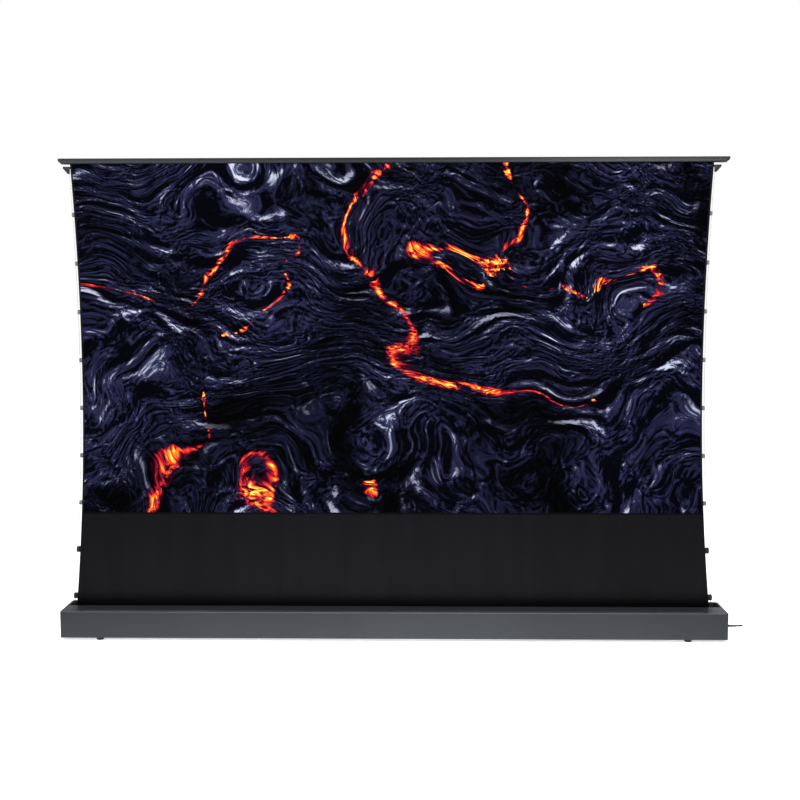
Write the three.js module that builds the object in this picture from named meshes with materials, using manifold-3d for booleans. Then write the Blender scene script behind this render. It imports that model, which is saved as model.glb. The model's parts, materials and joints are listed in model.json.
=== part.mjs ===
/**
 * Floor-rising projection screen: a long low aluminium case holds a motor-driven roller, and two
 * elbow arms behind the fabric push the lid up. The fabric is kept flat by side cords in tabs.
 *
 * Millimetres. X runs to the right, Y to the back and Z up. The floor is z = 0, and the case's
 * front face is at y = -case_depth / 2. The screen is modelled raised.
 */
import * as THREE from 'three';
import { mergeVertices } from 'three/addons/utils/BufferGeometryUtils.js';
import Module from 'manifold-3d';

// Driving dimensions: the case
const case_length = 2389;
const case_depth = 160;
const case_height = 96.6;
const foot_height = 10;
const wall = 3;
const end_plate = 7;
const end_block_length = 82;
const end_block_height = 5.8;
const front_edge_radius = 4;
const rear_edge_radius = 1.4;
const lower_edge = 1.5;

// Driving dimensions: the raised screen
const raised_height = 1720.3;
const lid_depth = 66;
const lid_height = 14.5;
const lid_end_gap = 1.2;
const lid_setback = 89.5;
const fabric_setback = 93.3;
const fabric_offset = -6.5;
const fabric_thickness = 0.6;
const fabric_end_margin = 40.5;
const fabric_waist_draw = 41;
const fabric_waist_height = 960;
const fabric_top_draw = 16;
const picture_foot_height = 451;
const first_tab_drop = 183;
const last_tab_lift = 35.1;
const tab_count = 9;
const black_tab_count = 2;
const roller_height = 45;
const roller_setback = 66.5;

// Driving dimensions: the lifting arms
const link_length = 1080;
const link_width = 18;
const arm_height = 34;
const arm_wall = 1.8;
const arm_corner = 4;
const gear_module = 2.5;
const gear_teeth = 26;
const dedendum_share = 1.25;
const pin_diameter = 12;
const linkage_setback = 98.5;

// Fits
const seat_gap = 0.3;
const side_gap = 0.5;
const overrun = 5;

// Facets
const fillet_steps = 3;
const round_steps = 24;
const bore_steps = 20;

const FINISH = {
  titanium: { color: 0x4c4e51, roughness: 0.42, metalness: 0.85 },
  lid: { color: 0x47484b, roughness: 0.4, metalness: 0.85 },
  steel: { color: 0x9c9fa3, roughness: 0.35, metalness: 0.95 },
  aluminium: { color: 0xb2b4b6, roughness: 0.38, metalness: 0.9 },
  blackPlastic: { color: 0x1c1d1f, roughness: 0.55, metalness: 0 },
  rubber: { color: 0x121212, roughness: 0.85, metalness: 0 },
  picture: { color: 0x161b2e, roughness: 0.8, metalness: 0 },
  drop: { color: 0x1b1b1c, roughness: 0.9, metalness: 0 },
  braid: { color: 0xc8c7c2, roughness: 0.7, metalness: 0 },
};

// Worked out from the driving dimensions
const front = -case_depth / 2;
const case_top = foot_height + case_height;
const floor_top = foot_height + wall;
const inner_end = case_length / 2 - end_plate;
const travel = raised_height - case_top;
const lid_bottom = raised_height - lid_height;
const lid_half = inner_end - lid_end_gap;
const fabric_foot_half = case_length / 2 - fabric_end_margin;
const fabric_waist_half = fabric_foot_half - fabric_waist_draw;

const wasm = await Module();
wasm.setup();

/** A corner of an outline. Its radius, if any, rounds it. */
const corner = (u, v, radius = 0) => ({ u, v, radius });

/** A point given by its angle on a circle. */
const onCircle = (u, v, radius, angle) =>
  new THREE.Vector2(u + radius * Math.cos(angle), v + radius * Math.sin(angle));

/** Points of an arc, both ends included. */
function arc(u, v, radius, from, to, steps) {
  const step = (to - from) / steps;
  return Array.from({ length: steps + 1 }, (_, i) => onCircle(u, v, radius, from + step * i));
}

/** A full circle, for bores. */
const circle = (u, v, radius, steps = bore_steps) => arc(u, v, radius, 0, 2 * Math.PI, steps).slice(1);

/** Closed outline through the corners, each rounded one drawn as an arc. */
function outline(...corners) {
  const points = [];
  corners.forEach((here, i) => {
    const middle = new THREE.Vector2(here.u, here.v);
    if (!here.radius) {
      points.push(middle);
      return;
    }
    const before = corners[(i + corners.length - 1) % corners.length];
    const after = corners[(i + 1) % corners.length];
    const back = new THREE.Vector2(before.u, before.v).sub(middle).normalize();
    const on = new THREE.Vector2(after.u, after.v).sub(middle).normalize();
    const half = Math.acos(THREE.MathUtils.clamp(back.dot(on), -1, 1)) / 2;
    const centre = back.clone().add(on).normalize().multiplyScalar(here.radius / Math.sin(half)).add(middle);
    const first = back.clone().multiplyScalar(here.radius / Math.tan(half)).add(middle).sub(centre);
    const last = on.clone().multiplyScalar(here.radius / Math.tan(half)).add(middle).sub(centre);
    const start = first.angle();
    let sweep = last.angle() - start;
    if (sweep > Math.PI) sweep -= 2 * Math.PI;
    if (sweep < -Math.PI) sweep += 2 * Math.PI;
    points.push(...arc(centre.x, centre.y, here.radius, start, start + sweep, fillet_steps));
  });
  return points;
}

/** Outline pushed along its own normal, from 0 to length. */
function prism(points, length, holes = []) {
  const shape = new THREE.Shape(points);
  shape.holes = holes.map((hole) => new THREE.Path(hole));
  return new THREE.ExtrudeGeometry(shape, { depth: length, bevelEnabled: false, steps: 1 });
}

const TO_X = new THREE.Matrix4().makeBasis(
  new THREE.Vector3(0, 1, 0), new THREE.Vector3(0, 0, 1), new THREE.Vector3(1, 0, 0));
const TO_Y = new THREE.Matrix4().makeBasis(
  new THREE.Vector3(1, 0, 0), new THREE.Vector3(0, 0, 1), new THREE.Vector3(0, -1, 0));

/** Profile in Y and Z, extruded along X from x. */
const alongX = (points, x, length, holes) =>
  prism(points, length, holes).applyMatrix4(TO_X).translate(x, 0, 0);

/** Outline in X and Z, extruded towards the back from y. */
const alongY = (points, y, length, holes) =>
  prism(points, length, holes).applyMatrix4(TO_Y).translate(0, y + length, 0);

/** Box between two corners. */
function box(x0, y0, z0, x1, y1, z1) {
  return new THREE.BoxGeometry(x1 - x0, y1 - y0, z1 - z0)
    .translate((x0 + x1) / 2, (y0 + y1) / 2, (z0 + z1) / 2);
}

/** Profile of [radius, height] pairs turned about Z, Y or X. */
const turned = (profile, steps = round_steps) =>
  new THREE.LatheGeometry(profile.map(([radius, height]) => new THREE.Vector2(radius, height)), steps);
const turnedZ = (profile, steps) => turned(profile, steps).rotateX(Math.PI / 2);
const turnedX = (profile, steps) => turned(profile, steps).rotateZ(-Math.PI / 2);

/** Closed geometry as a solid that can be cut and joined. */
function solid(geometry) {
  const bare = geometry.clone();
  bare.deleteAttribute('normal');
  bare.deleteAttribute('uv');
  const merged = mergeVertices(bare);
  return new wasm.Manifold(new wasm.Mesh({
    numProp: 3,
    vertProperties: Float32Array.from(merged.attributes.position.array),
    triVerts: Uint32Array.from(merged.index.array),
  }));
}

function geometryOf(body) {
  const { vertProperties, triVerts } = body.getMesh();
  const geometry = new THREE.BufferGeometry();
  geometry.setAttribute('position', new THREE.BufferAttribute(vertProperties, 3));
  geometry.setIndex(new THREE.BufferAttribute(triVerts, 1));
  geometry.computeVertexNormals();
  return geometry;
}

const joined = (first, ...rest) => geometryOf(rest.reduce((sum, next) => sum.add(solid(next)), solid(first)));
const cut = (first, ...tools) =>
  geometryOf(tools.reduce((left, tool) => left.subtract(solid(tool)), solid(first)));

/** One named piece with its own finish. */
function piece(name, geometry, finish) {
  const mesh = new THREE.Mesh(geometry, new THREE.MeshStandardMaterial(finish));
  mesh.name = name;
  return mesh;
}

function assembly(...members) {
  const group = new THREE.Group();
  group.add(...members);
  return group;
}

const SIDES = [{ side: -1, word: 'left' }, { side: 1, word: 'right' }];

// Case: a base channel with the rear wall, a hooked-on front panel and a cover over the roller

const panel = {
  lip: 20,
  ledge: 10,
  ledgeDrop: 2.8,
  hookHeight: 14,
  hookReach: 5.6,
  hookTip: 2,
  hookDepth: 7,
};
const port = { size: 8, bore: 4.2, frontSetback: 12 };
const cover = { groove: 4, rearSetback: 88, thickness: 2.5, rearLip: 8.5, rib: 4, ribSetback: 52 };
const foot = { diameter: 28, bottomDiameter: 26, edge: 1, endInset: 137.5, sideInset: 20, stud: 7 };
const extrusion_length = 2 * (inner_end - seat_gap);

/** Front panel: the face, its top lip, the ledge under the cover and the hook at the base. */
function frontPanel() {
  const ledge_top = case_top - panel.ledgeDrop;
  const ledge = front + panel.lip + panel.ledge;
  const hook_top = floor_top + panel.hookHeight;
  const tip = front + wall + panel.hookReach;
  const profile = outline(
    corner(front, foot_height + lower_edge),
    corner(front, case_top, front_edge_radius),
    corner(front + panel.lip, case_top),
    corner(front + panel.lip, ledge_top),
    corner(ledge, ledge_top),
    corner(ledge, ledge_top - wall),
    corner(front + panel.lip - wall, ledge_top - wall),
    corner(front + panel.lip - wall, case_top - wall),
    corner(front + wall, case_top - wall, lower_edge),
    corner(front + wall, hook_top + wall),
    corner(tip, hook_top + wall),
    corner(tip, hook_top - panel.hookDepth),
    corner(tip - panel.hookTip, hook_top - panel.hookDepth),
    corner(tip - panel.hookTip, hook_top),
    corner(front + wall, hook_top),
    corner(front + wall, foot_height),
    corner(front + lower_edge, foot_height),
  );
  const length = end_block_length - end_plate;
  const notches = SIDES.map(({ side }) => {
    const outer = side * (inner_end + overrun);
    const inner = side * (inner_end - length - seat_gap);
    return box(Math.min(outer, inner), front + front_edge_radius, case_top - end_block_height - seat_gap,
      Math.max(outer, inner), ledge + overrun, case_top + overrun);
  });
  return piece('front_panel', cut(alongX(profile, -extrusion_length / 2, extrusion_length), ...notches),
    FINISH.titanium);
}

/** Base channel: the floor, the rear wall, the front upstand and two screw ports. */
function baseChannel() {
  const start = front + wall + seat_gap;
  const back = front + case_depth;
  const hook_top = floor_top + panel.hookHeight;
  const port_front = front + port.frontSetback;
  const profile = outline(
    corner(start, foot_height),
    corner(back, foot_height, lower_edge),
    corner(back, case_top, rear_edge_radius),
    corner(back - wall, case_top, rear_edge_radius),
    corner(back - wall, floor_top + port.size),
    corner(back - wall - port.size, floor_top + port.size),
    corner(back - wall - port.size, floor_top),
    corner(port_front + port.size, floor_top),
    corner(port_front + port.size, floor_top + port.size),
    corner(port_front, floor_top + port.size),
    corner(port_front, floor_top),
    corner(start + wall, floor_top),
    corner(start + wall, hook_top - seat_gap),
    corner(start, hook_top - seat_gap),
  );
  const bores = [port_front + port.size / 2, back - wall - port.size / 2]
    .map((y) => circle(y, floor_top + port.size / 2, port.bore / 2, bore_steps / 2));
  const channel = alongX(profile, -extrusion_length / 2, extrusion_length, bores);
  const stud_radius = foot.stud / 2 + seat_gap;
  const studs = footPlaces().map(({ x, y }) =>
    new THREE.CylinderGeometry(stud_radius, stud_radius, wall + 2 * overrun, bore_steps)
      .rotateX(Math.PI / 2)
      .translate(x, y, foot_height));
  return piece('base_channel', cut(channel, ...studs), FINISH.titanium);
}

/** Roller cover: lies on the front ledge and turns down beside the fabric. */
function rollerCover() {
  const start = front + panel.lip + cover.groove;
  const end = front + cover.rearSetback;
  const under = case_top - cover.thickness;
  const rib = front + cover.ribSetback;
  const profile = outline(
    corner(start, case_top, lower_edge / 2),
    corner(end, case_top, cover.thickness),
    corner(end, case_top - cover.rearLip),
    corner(end - cover.thickness, case_top - cover.rearLip),
    corner(end - cover.thickness, under),
    corner(rib + cover.thickness, under),
    corner(rib + cover.thickness, under - cover.rib),
    corner(rib, under - cover.rib),
    corner(rib, under),
    corner(start, under),
  );
  const half = inner_end - (end_block_length - end_plate) - 2 * seat_gap;
  return piece('roller_cover', alongX(profile, -half, 2 * half), FINISH.titanium);
}

/** End cap: a plate of the case's own outline with a block that closes the top over the roller. */
function endCap(side, word) {
  const back = front + case_depth;
  const profile = outline(
    corner(front, foot_height, lower_edge),
    corner(front, case_top, front_edge_radius),
    corner(back, case_top, front_edge_radius),
    corner(back, foot_height, lower_edge),
  );
  const outer = side * (case_length / 2);
  const inner = side * inner_end;
  const plate = alongX(profile, Math.min(outer, inner), end_plate);
  const block_end = side * (case_length / 2 - end_block_length);
  const rear = front + cover.rearSetback;
  const blockProfile = outline(
    corner(front + front_edge_radius + seat_gap, case_top),
    corner(rear, case_top, cover.thickness),
    corner(rear, case_top - cover.rearLip),
    corner(rear - cover.thickness, case_top - cover.rearLip),
    corner(rear - cover.thickness, case_top - end_block_height),
    corner(front + front_edge_radius + seat_gap, case_top - end_block_height),
  );
  const block = alongX(blockProfile, Math.min(block_end, inner), end_block_length - end_plate);
  const cap = joined(plate, block);
  if (side < 0) return piece(`end_cap_${word}`, cap, FINISH.titanium);
  const hole = new THREE.CylinderGeometry(gland.neck / 2 + seat_gap, gland.neck / 2 + seat_gap,
    end_plate + 2 * overrun, bore_steps).rotateZ(Math.PI / 2).translate(inner, lead_exit_y, lead_exit_z);
  return piece(`end_cap_${word}`, cut(cap, hole), FINISH.titanium);
}

function footPlaces() {
  const x = case_length / 2 - foot.endInset;
  const y = case_depth / 2 - foot.sideInset;
  return [
    { name: 'foot_front_left', x: -x, y: -y },
    { name: 'foot_front_right', x, y: -y },
    { name: 'foot_rear_left', x: -x, y },
    { name: 'foot_rear_right', x, y },
  ];
}

/** Rubber foot with a stud that pushes into the base. */
function rubberFoot({ name, x, y }) {
  const top = foot_height - seat_gap;
  const mesh = piece(name, turnedZ([
    [0, 0],
    [foot.bottomDiameter / 2 - foot.edge, 0],
    [foot.bottomDiameter / 2, foot.edge],
    [foot.diameter / 2, top],
    [foot.stud / 2, top],
    [foot.stud / 2, floor_top],
    [0, floor_top],
  ]), FINISH.rubber);
  mesh.position.set(x, y, 0);
  return mesh;
}

// Roller: a tube turned by the motor inside it, on a fixed bracket at each end

const roller = { diameter: 50, wall: 1.5, roll: 53 };
const motor = { diameter: 37, length: 520, head: 45, headLength: 8, shaft: 10, shaftLength: 22 };
const ring = { length: 12 };
const wheel = { length: 16, hub: 18, spokeWidth: 7, spokes: 4, rim: 3 };
const idler = { pin: 12, plugLength: 32, flange: 54, flangeLength: 3, pinLength: 40 };
const bracket = { size: 49, plate: 3, corner: 6, rim: 4 };

const roller_y = front + roller_setback;
const tube_bore = roller.diameter - 2 * roller.wall;
const motor_head_end = inner_end - seat_gap - bracket.rim - bracket.plate - seat_gap;
const tube_right = motor_head_end - motor.headLength - side_gap;
const tube_left = -inner_end + seat_gap + bracket.plate + side_gap + idler.flangeLength;

/** Moves a piece that is turned about X onto the roller's axis. */
function onRollerAxis(mesh, x) {
  mesh.position.set(x, roller_y, roller_height);
  return mesh;
}

function rollerTube() {
  const length = tube_right - tube_left;
  return onRollerAxis(piece('roller_tube', turnedX([
    [tube_bore / 2, 0],
    [roller.diameter / 2, 0],
    [roller.diameter / 2, length],
    [tube_bore / 2, length],
    [tube_bore / 2, 0],
  ], round_steps), FINISH.aluminium), tube_left);
}

/** The wound turns of fabric on the tube, as one sleeve. */
function fabricRoll() {
  const half = halfWidth(roller_height);
  const inner = roller.diameter / 2 + seat_gap;
  return onRollerAxis(piece('fabric_roll', turnedX([
    [inner, 0],
    [roller.roll / 2, 0],
    [roller.roll / 2, 2 * half],
    [inner, 2 * half],
    [inner, 0],
  ], round_steps), FINISH.drop), fabric_offset - half);
}

/** Tubular motor: head, long body and output shaft. */
function tubeMotor() {
  const body_end = motor.headLength + motor.length;
  return onRollerAxis(piece('tube_motor', turnedX([
    [0, 0],
    [motor.head / 2, 0],
    [motor.head / 2, -motor.headLength],
    [motor.diameter / 2, -motor.headLength],
    [motor.diameter / 2, -body_end],
    [motor.shaft / 2, -body_end],
    [motor.shaft / 2, -body_end - motor.shaftLength],
    [0, -body_end - motor.shaftLength],
  ].reverse(), bore_steps), FINISH.steel), motor_head_end);
}

/** Ring at the tube's mouth that turns with it and tells the motor how far it has wound. */
function limitRing() {
  const inner = motor.diameter / 2 + seat_gap;
  const outer = tube_bore / 2 - seat_gap;
  return onRollerAxis(piece('limit_ring', turnedX([
    [inner, 0],
    [outer, 0],
    [outer, ring.length],
    [inner, ring.length],
    [inner, 0],
  ], bore_steps), FINISH.blackPlastic), tube_right - ring.length);
}

/** Spoked wheel on the motor's shaft that drives the tube. */
function driveWheel() {
  const rim_outer = tube_bore / 2 - seat_gap;
  const bore = motor.shaft / 2 + seat_gap;
  const rim_hole = circle(0, 0, rim_outer - wheel.rim, round_steps);
  const rim = prism(circle(0, 0, rim_outer, round_steps), wheel.length, [rim_hole]);
  const hub = prism(circle(0, 0, wheel.hub / 2), wheel.length, [circle(0, 0, bore)]);
  const reach = rim_outer - wheel.rim / 2;
  const spokes = Array.from({ length: wheel.spokes }, (_, i) =>
    box((wheel.hub / 2 + bore) / 2, -wheel.spokeWidth / 2, 0, reach, wheel.spokeWidth / 2, wheel.length)
      .rotateZ((2 * Math.PI * i) / wheel.spokes));
  const geometry = joined(rim, hub, ...spokes).applyMatrix4(TO_X);
  const shaft_start = motor_head_end - motor.headLength - motor.length;
  return onRollerAxis(piece('drive_wheel', geometry, FINISH.blackPlastic),
    shaft_start - (motor.shaftLength + wheel.length) / 2);
}

/** Plug in the tube's left end, with a flange, turning on the fixed pin. */
function idlerPlug() {
  const bore = idler.pin / 2 + seat_gap;
  const outer = tube_bore / 2 - seat_gap;
  return onRollerAxis(piece('idler_plug', turnedX([
    [bore, 0],
    [idler.flange / 2, 0],
    [idler.flange / 2, idler.flangeLength - seat_gap],
    [outer, idler.flangeLength - seat_gap],
    [outer, idler.plugLength],
    [bore, idler.plugLength],
    [bore, 0],
  ], bore_steps), FINISH.blackPlastic), tube_left - idler.flangeLength);
}

function idlerPin() {
  return onRollerAxis(piece('idler_pin', turnedX([
    [0, 0],
    [idler.pin / 2, 0],
    [idler.pin / 2, idler.pinLength],
    [0, idler.pinLength],
  ], bore_steps), FINISH.steel), -inner_end + seat_gap);
}

const bracketOutline = (size) => outline(
  corner(-size / 2, -size / 2, bracket.corner),
  corner(size / 2, -size / 2, bracket.corner),
  corner(size / 2, size / 2, bracket.corner),
  corner(-size / 2, size / 2, bracket.corner),
);

/** Plate that holds the idler pin against the left end cap. */
function idlerBracket() {
  const plate = prism(bracketOutline(bracket.size), bracket.plate,
    [circle(0, 0, idler.pin / 2 + seat_gap)]).applyMatrix4(TO_X);
  return onRollerAxis(piece('idler_bracket', plate, FINISH.steel), -inner_end + seat_gap);
}

/** Dished plate that carries the motor's head from the right end cap. */
function motorBracket() {
  const plate = prism(bracketOutline(bracket.size), bracket.plate).applyMatrix4(TO_X);
  const rim_hole = bracketOutline(bracket.size - 2 * bracket.plate);
  const rim = prism(bracketOutline(bracket.size), bracket.rim, [rim_hole])
    .applyMatrix4(TO_X).translate(bracket.plate, 0, 0);
  return onRollerAxis(piece('motor_bracket', joined(plate, rim), FINISH.steel), motor_head_end + seat_gap);
}

const control = { length: 190, setback: 22.5, depth: 11.5, height: 50, corner: 2, endInset: 60 };

/** Receiver and limit electronics in a slim box on the base, between the front port and the roller. */
function controlBox() {
  const start = front + control.setback;
  const profile = outline(
    corner(start, floor_top + seat_gap, control.corner),
    corner(start + control.depth, floor_top + seat_gap, control.corner),
    corner(start + control.depth, floor_top + seat_gap + control.height, control.corner),
    corner(start, floor_top + seat_gap + control.height, control.corner),
  );
  return piece('control_box', alongX(profile, inner_end - control.endInset - control.length, control.length),
    FINISH.blackPlastic);
}

// Fabric: its sides are drawn in between the corners by the cords

const rail = { thickness: 3, height: 32, capGap: 28.8, seat: 1.5 };
const notch = { width: 18, height: 10.5 };
const tab = { wall: 1.3, inset: 11, height: 19, thickness: 4, corner: 2 };
const blackTab = { wall: 3.5, inset: 14, height: 27, thickness: 5, corner: 4 };
const cord = { diameter: 2.2, tabBore: 3.4, topGap: 5, footGap: 9, steps: 24, sides: 8 };
const side_steps = 14;

const fabric_top = lid_bottom - seat_gap;
const fabric_front = front + fabric_setback;
const fabric_middle = fabric_front + fabric_thickness / 2;

/** Half the fabric's width at a height: two parabolas that meet at the waist. */
function halfWidth(z) {
  const reach = z > fabric_waist_height ? fabric_top - fabric_waist_height : fabric_waist_height - case_top;
  const flare = fabric_waist_draw - (z > fabric_waist_height ? fabric_top_draw : 0);
  return fabric_waist_half + flare * ((z - fabric_waist_height) / reach) ** 2;
}

/** Distance from the roller's middle to the tension cord at a height. */
function cordOffset(z) {
  const share = (fabric_top - z) / (fabric_top - roller_height);
  return halfWidth(z) + cord.topGap + (cord.footGap - cord.topGap) * share;
}

/** Flat fabric between two heights, with both sides curved. */
function fabricSheet(low, high) {
  const heights = Array.from({ length: side_steps + 1 }, (_, i) => low + ((high - low) * i) / side_steps);
  const right = heights.map((z) => new THREE.Vector2(fabric_offset + halfWidth(z), z));
  const left = heights.toReversed().map((z) => new THREE.Vector2(fabric_offset - halfWidth(z), z));
  return alongY([...right, ...left], fabric_front, fabric_thickness);
}

/** Tension cord down one side, from its bracket to the roller. */
function cordCurve(side) {
  const high = fabric_top - notch.height;
  const points = Array.from({ length: side_steps + 1 }, (_, i) => {
    const z = high + ((roller_height - high) * i) / side_steps;
    return new THREE.Vector3(fabric_offset + side * cordOffset(z), fabric_middle, z);
  });
  return new THREE.CatmullRomCurve3(points);
}

function cordTube(side, diameter) {
  const section = new THREE.Shape(circle(0, 0, diameter / 2, cord.sides));
  return new THREE.ExtrudeGeometry(section, { extrudePath: cordCurve(side), steps: cord.steps });
}

/** Tabs welded over the fabric's side, one at each height and side. */
function tabBodies(size, heights) {
  return SIDES.flatMap(({ side }) => heights.map((z) => {
    const inner = fabric_offset + side * (halfWidth(z) - size.inset);
    const outer = fabric_offset + side * (cordOffset(z) + cord.tabBore / 2 + size.wall);
    const spot = outline(
      corner(inner, z - size.height / 2),
      corner(outer, z - size.height / 2, size.corner),
      corner(outer, z + size.height / 2, size.corner),
      corner(inner, z + size.height / 2),
    );
    return alongY(spot, fabric_middle - size.thickness / 2, size.thickness);
  }));
}

/** Fabric with its tabs, bored for the two cords. */
function fabricPiece(name, low, high, size, heights, finish, ...notches) {
  const sheet = joined(fabricSheet(low, high), ...tabBodies(size, heights));
  const bores = SIDES.map(({ side }) => cordTube(side, cord.tabBore));
  return piece(name, cut(sheet, ...bores, ...notches), finish);
}

/** Room cut from the fabric's top corner, above its bracket. */
function cornerNotch({ side }) {
  const inner = fabric_offset + side * (halfWidth(fabric_top) - notch.width);
  const outer = fabric_offset + side * (halfWidth(fabric_top) + overrun);
  return box(Math.min(inner, outer), fabric_front - overrun, fabric_top - notch.height,
    Math.max(inner, outer), fabric_front + overrun, fabric_top + overrun);
}

const first_tab = fabric_top - first_tab_drop;
const tab_spacing = (first_tab - case_top - last_tab_lift) / (tab_count - 1);
const tab_heights = Array.from({ length: tab_count }, (_, i) => first_tab - tab_spacing * i);

const screenFabric = () => fabricPiece('screen_fabric', picture_foot_height + seat_gap, fabric_top, tab,
  tab_heights.slice(0, tab_count - black_tab_count), FINISH.picture, ...SIDES.map(cornerNotch));

const blackDrop = () => fabricPiece('black_drop', roller_height, picture_foot_height, blackTab,
  tab_heights.slice(tab_count - black_tab_count), FINISH.drop);

const tensionCord = ({ side, word }) =>
  piece(`tension_cord_${word}`, cordTube(side, cord.diameter), FINISH.braid);

// Lifting arms: four alike links, geared in pairs at the base and under the lid

const gear_radius = (gear_module * gear_teeth) / 2;
const gear_tip = gear_radius + gear_module;
const gear_root = gear_radius - dedendum_share * gear_module;
const base = { flange: 3, half: 80, boss: 14, shoulder: 8, frontCheek: 4, rearCheek: 3, gearGap: 1 };
const clevis = { flange: 3, half: 74, boss: 14, frontCheek: 3, rearCheek: 4, gearGap: 2, window: 9 };
const plane_gap = 1;
const head = { diameter: 18, thickness: 2 };
const link = { neck: 38, tang: 56, tangRoot: 5, eyeNeck: 32, flankGap: 0.35, spareTeeth: 1 };
const spring = { diameter: 13 };
const pressure_angle = THREE.MathUtils.degToRad(20);

const lower_pivot_z = floor_top + seat_gap + base.flange + base.gearGap + gear_tip;
const upper_pivot_z = lid_bottom - clevis.gearGap - gear_tip;
const lean = Math.acos((upper_pivot_z - lower_pivot_z) / (2 * link_length));
const folded_lean = Math.acos((upper_pivot_z - travel - lower_pivot_z) / (2 * link_length));

const base_front = front + linkage_setback;
const lower_plane = base_front + base.frontCheek + side_gap;
const base_rear = lower_plane + link_width + side_gap;
const clevis_front = base_rear + base.rearCheek + plane_gap;
const upper_plane = clevis_front + clevis.frontCheek + side_gap;
const clevis_rear = upper_plane + link_width + side_gap;
const pin_bore = pin_diameter / 2 + seat_gap;

const involute = (angle) => Math.tan(angle) - angle;

/** Half the angle that a tooth fills at a radius, less half the play at its flanks. */
function toothHalf(radius) {
  const base_radius = gear_radius * Math.cos(pressure_angle);
  const reach = Math.max(radius, base_radius);
  const angle = Math.acos(base_radius / reach);
  return Math.PI / 2 / gear_teeth + involute(pressure_angle) - involute(angle) - link.flankGap / gear_radius;
}

/** Gear sector and neck: teeth only where the arm's swing brings them into mesh. */
function gearOutline(side, tooth_on_line) {
  const pitch = (2 * Math.PI) / gear_teeth;
  const first = -lean + link.spareTeeth * pitch + (tooth_on_line ? 0 : pitch / 2);
  const count = Math.ceil((folded_lean - lean) / pitch) + 2 * link.spareTeeth + 1;
  const radii = [gear_root, gear_radius * Math.cos(pressure_angle), gear_radius, gear_tip];
  const teeth = Array.from({ length: count }, (_, i) => first - i * pitch).flatMap((middle) => [
    ...radii.map((radius) => onCircle(0, 0, radius, middle + toothHalf(radius))),
    ...radii.toReversed().map((radius) => onCircle(0, 0, radius, middle - toothHalf(radius))),
  ]);
  const neck_angle = Math.acos(arm_height / 2 / gear_root);
  const before = arc(0, 0, gear_root, neck_angle, first + pitch / 2, round_steps / 6);
  const after = arc(0, 0, gear_root, first - (count - 0.5) * pitch, -Math.PI - neck_angle, round_steps / 3);
  const neck = [
    new THREE.Vector2(-arm_height / 2, link.neck - seat_gap),
    new THREE.Vector2(arm_height / 2, link.neck - seat_gap),
  ];
  return [...before, ...teeth, ...after, ...neck].map((point) => new THREE.Vector2(side * point.x, point.y));
}

/** Rounded section of an arm in X and Y, drawn in from its outside by an inset. */
function armSection(inset, plane) {
  const radius = inset ? arm_corner - arm_wall : arm_corner;
  const half = arm_height / 2 - inset;
  return outline(
    corner(-half, plane + inset, radius),
    corner(half, plane + inset, radius),
    corner(half, plane + link_width - inset, radius),
    corner(-half, plane + link_width - inset, radius),
  );
}

/** Tongue that fills the tube's mouth. */
const tang = (low, high, plane) =>
  prism(armSection(arm_wall + seat_gap, plane), high - low).translate(0, 0, low);

/** Gear end of a link, with its pivot at the origin and the arm along +Z. */
function gearEnd(name, plane, side, tooth_on_line) {
  const body = alongY(gearOutline(side, tooth_on_line), plane, link_width,
    [circle(0, 0, pin_bore)]);
  const tongue = tang(link.neck - link.tangRoot, link.neck + link.tang, plane);
  return piece(name, joined(body, tongue), FINISH.aluminium);
}

/** Round eye at the elbow end of a link. */
function eyeEnd(name, plane) {
  const radius = arm_height / 2;
  const low = link_length - link.eyeNeck + seat_gap;
  const shape = [
    ...arc(0, link_length, radius, 0, Math.PI, bore_steps / 2),
    new THREE.Vector2(-radius, low),
    new THREE.Vector2(radius, low),
  ];
  const body = alongY(shape, plane, link_width, [circle(0, link_length, pin_bore)]);
  const tongue = tang(low - link.tang, low + link.tangRoot, plane);
  return piece(name, joined(body, tongue), FINISH.aluminium);
}

/** Hollow arm tube between the two ends. */
function armTube(name, plane) {
  const length = link_length - link.neck - link.eyeNeck;
  const tube = prism(armSection(0, plane), length, [armSection(arm_wall, plane)]);
  return piece(name, tube.translate(0, 0, link.neck), FINISH.aluminium);
}

/** Lifting spring inside a lower arm, between the two tangs. */
function armSpring(name, plane) {
  const low = link.neck + link.tang + seat_gap;
  const high = link_length - link.eyeNeck + seat_gap - link.tang - seat_gap;
  const mesh = piece(name, turnedZ([
    [0, 0],
    [spring.diameter / 2, 0],
    [spring.diameter / 2, high - low],
    [0, high - low],
  ], bore_steps / 2), FINISH.steel);
  mesh.position.set(0, plane + link_width / 2, low);
  return mesh;
}

/** A link placed by its geared pivot and turned to its raised lean. */
function placedLink(members, x, z, angle) {
  const group = assembly(...members);
  group.position.set(x, 0, z);
  group.rotation.y = angle;
  return group;
}

function lowerLink({ side, word }) {
  return placedLink([
    gearEnd(`lower_gear_${word}`, lower_plane, -side, side < 0),
    armTube(`lower_arm_${word}`, lower_plane),
    armSpring(`arm_spring_${word}`, lower_plane),
    eyeEnd(`lower_elbow_${word}`, lower_plane),
  ], side * gear_radius, lower_pivot_z, side * lean);
}

function upperLink({ side, word }) {
  return placedLink([
    gearEnd(`upper_gear_${word}`, upper_plane, side, side < 0),
    armTube(`upper_arm_${word}`, upper_plane),
    eyeEnd(`upper_elbow_${word}`, upper_plane),
  ], side * gear_radius, upper_pivot_z, Math.PI - side * lean);
}

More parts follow.
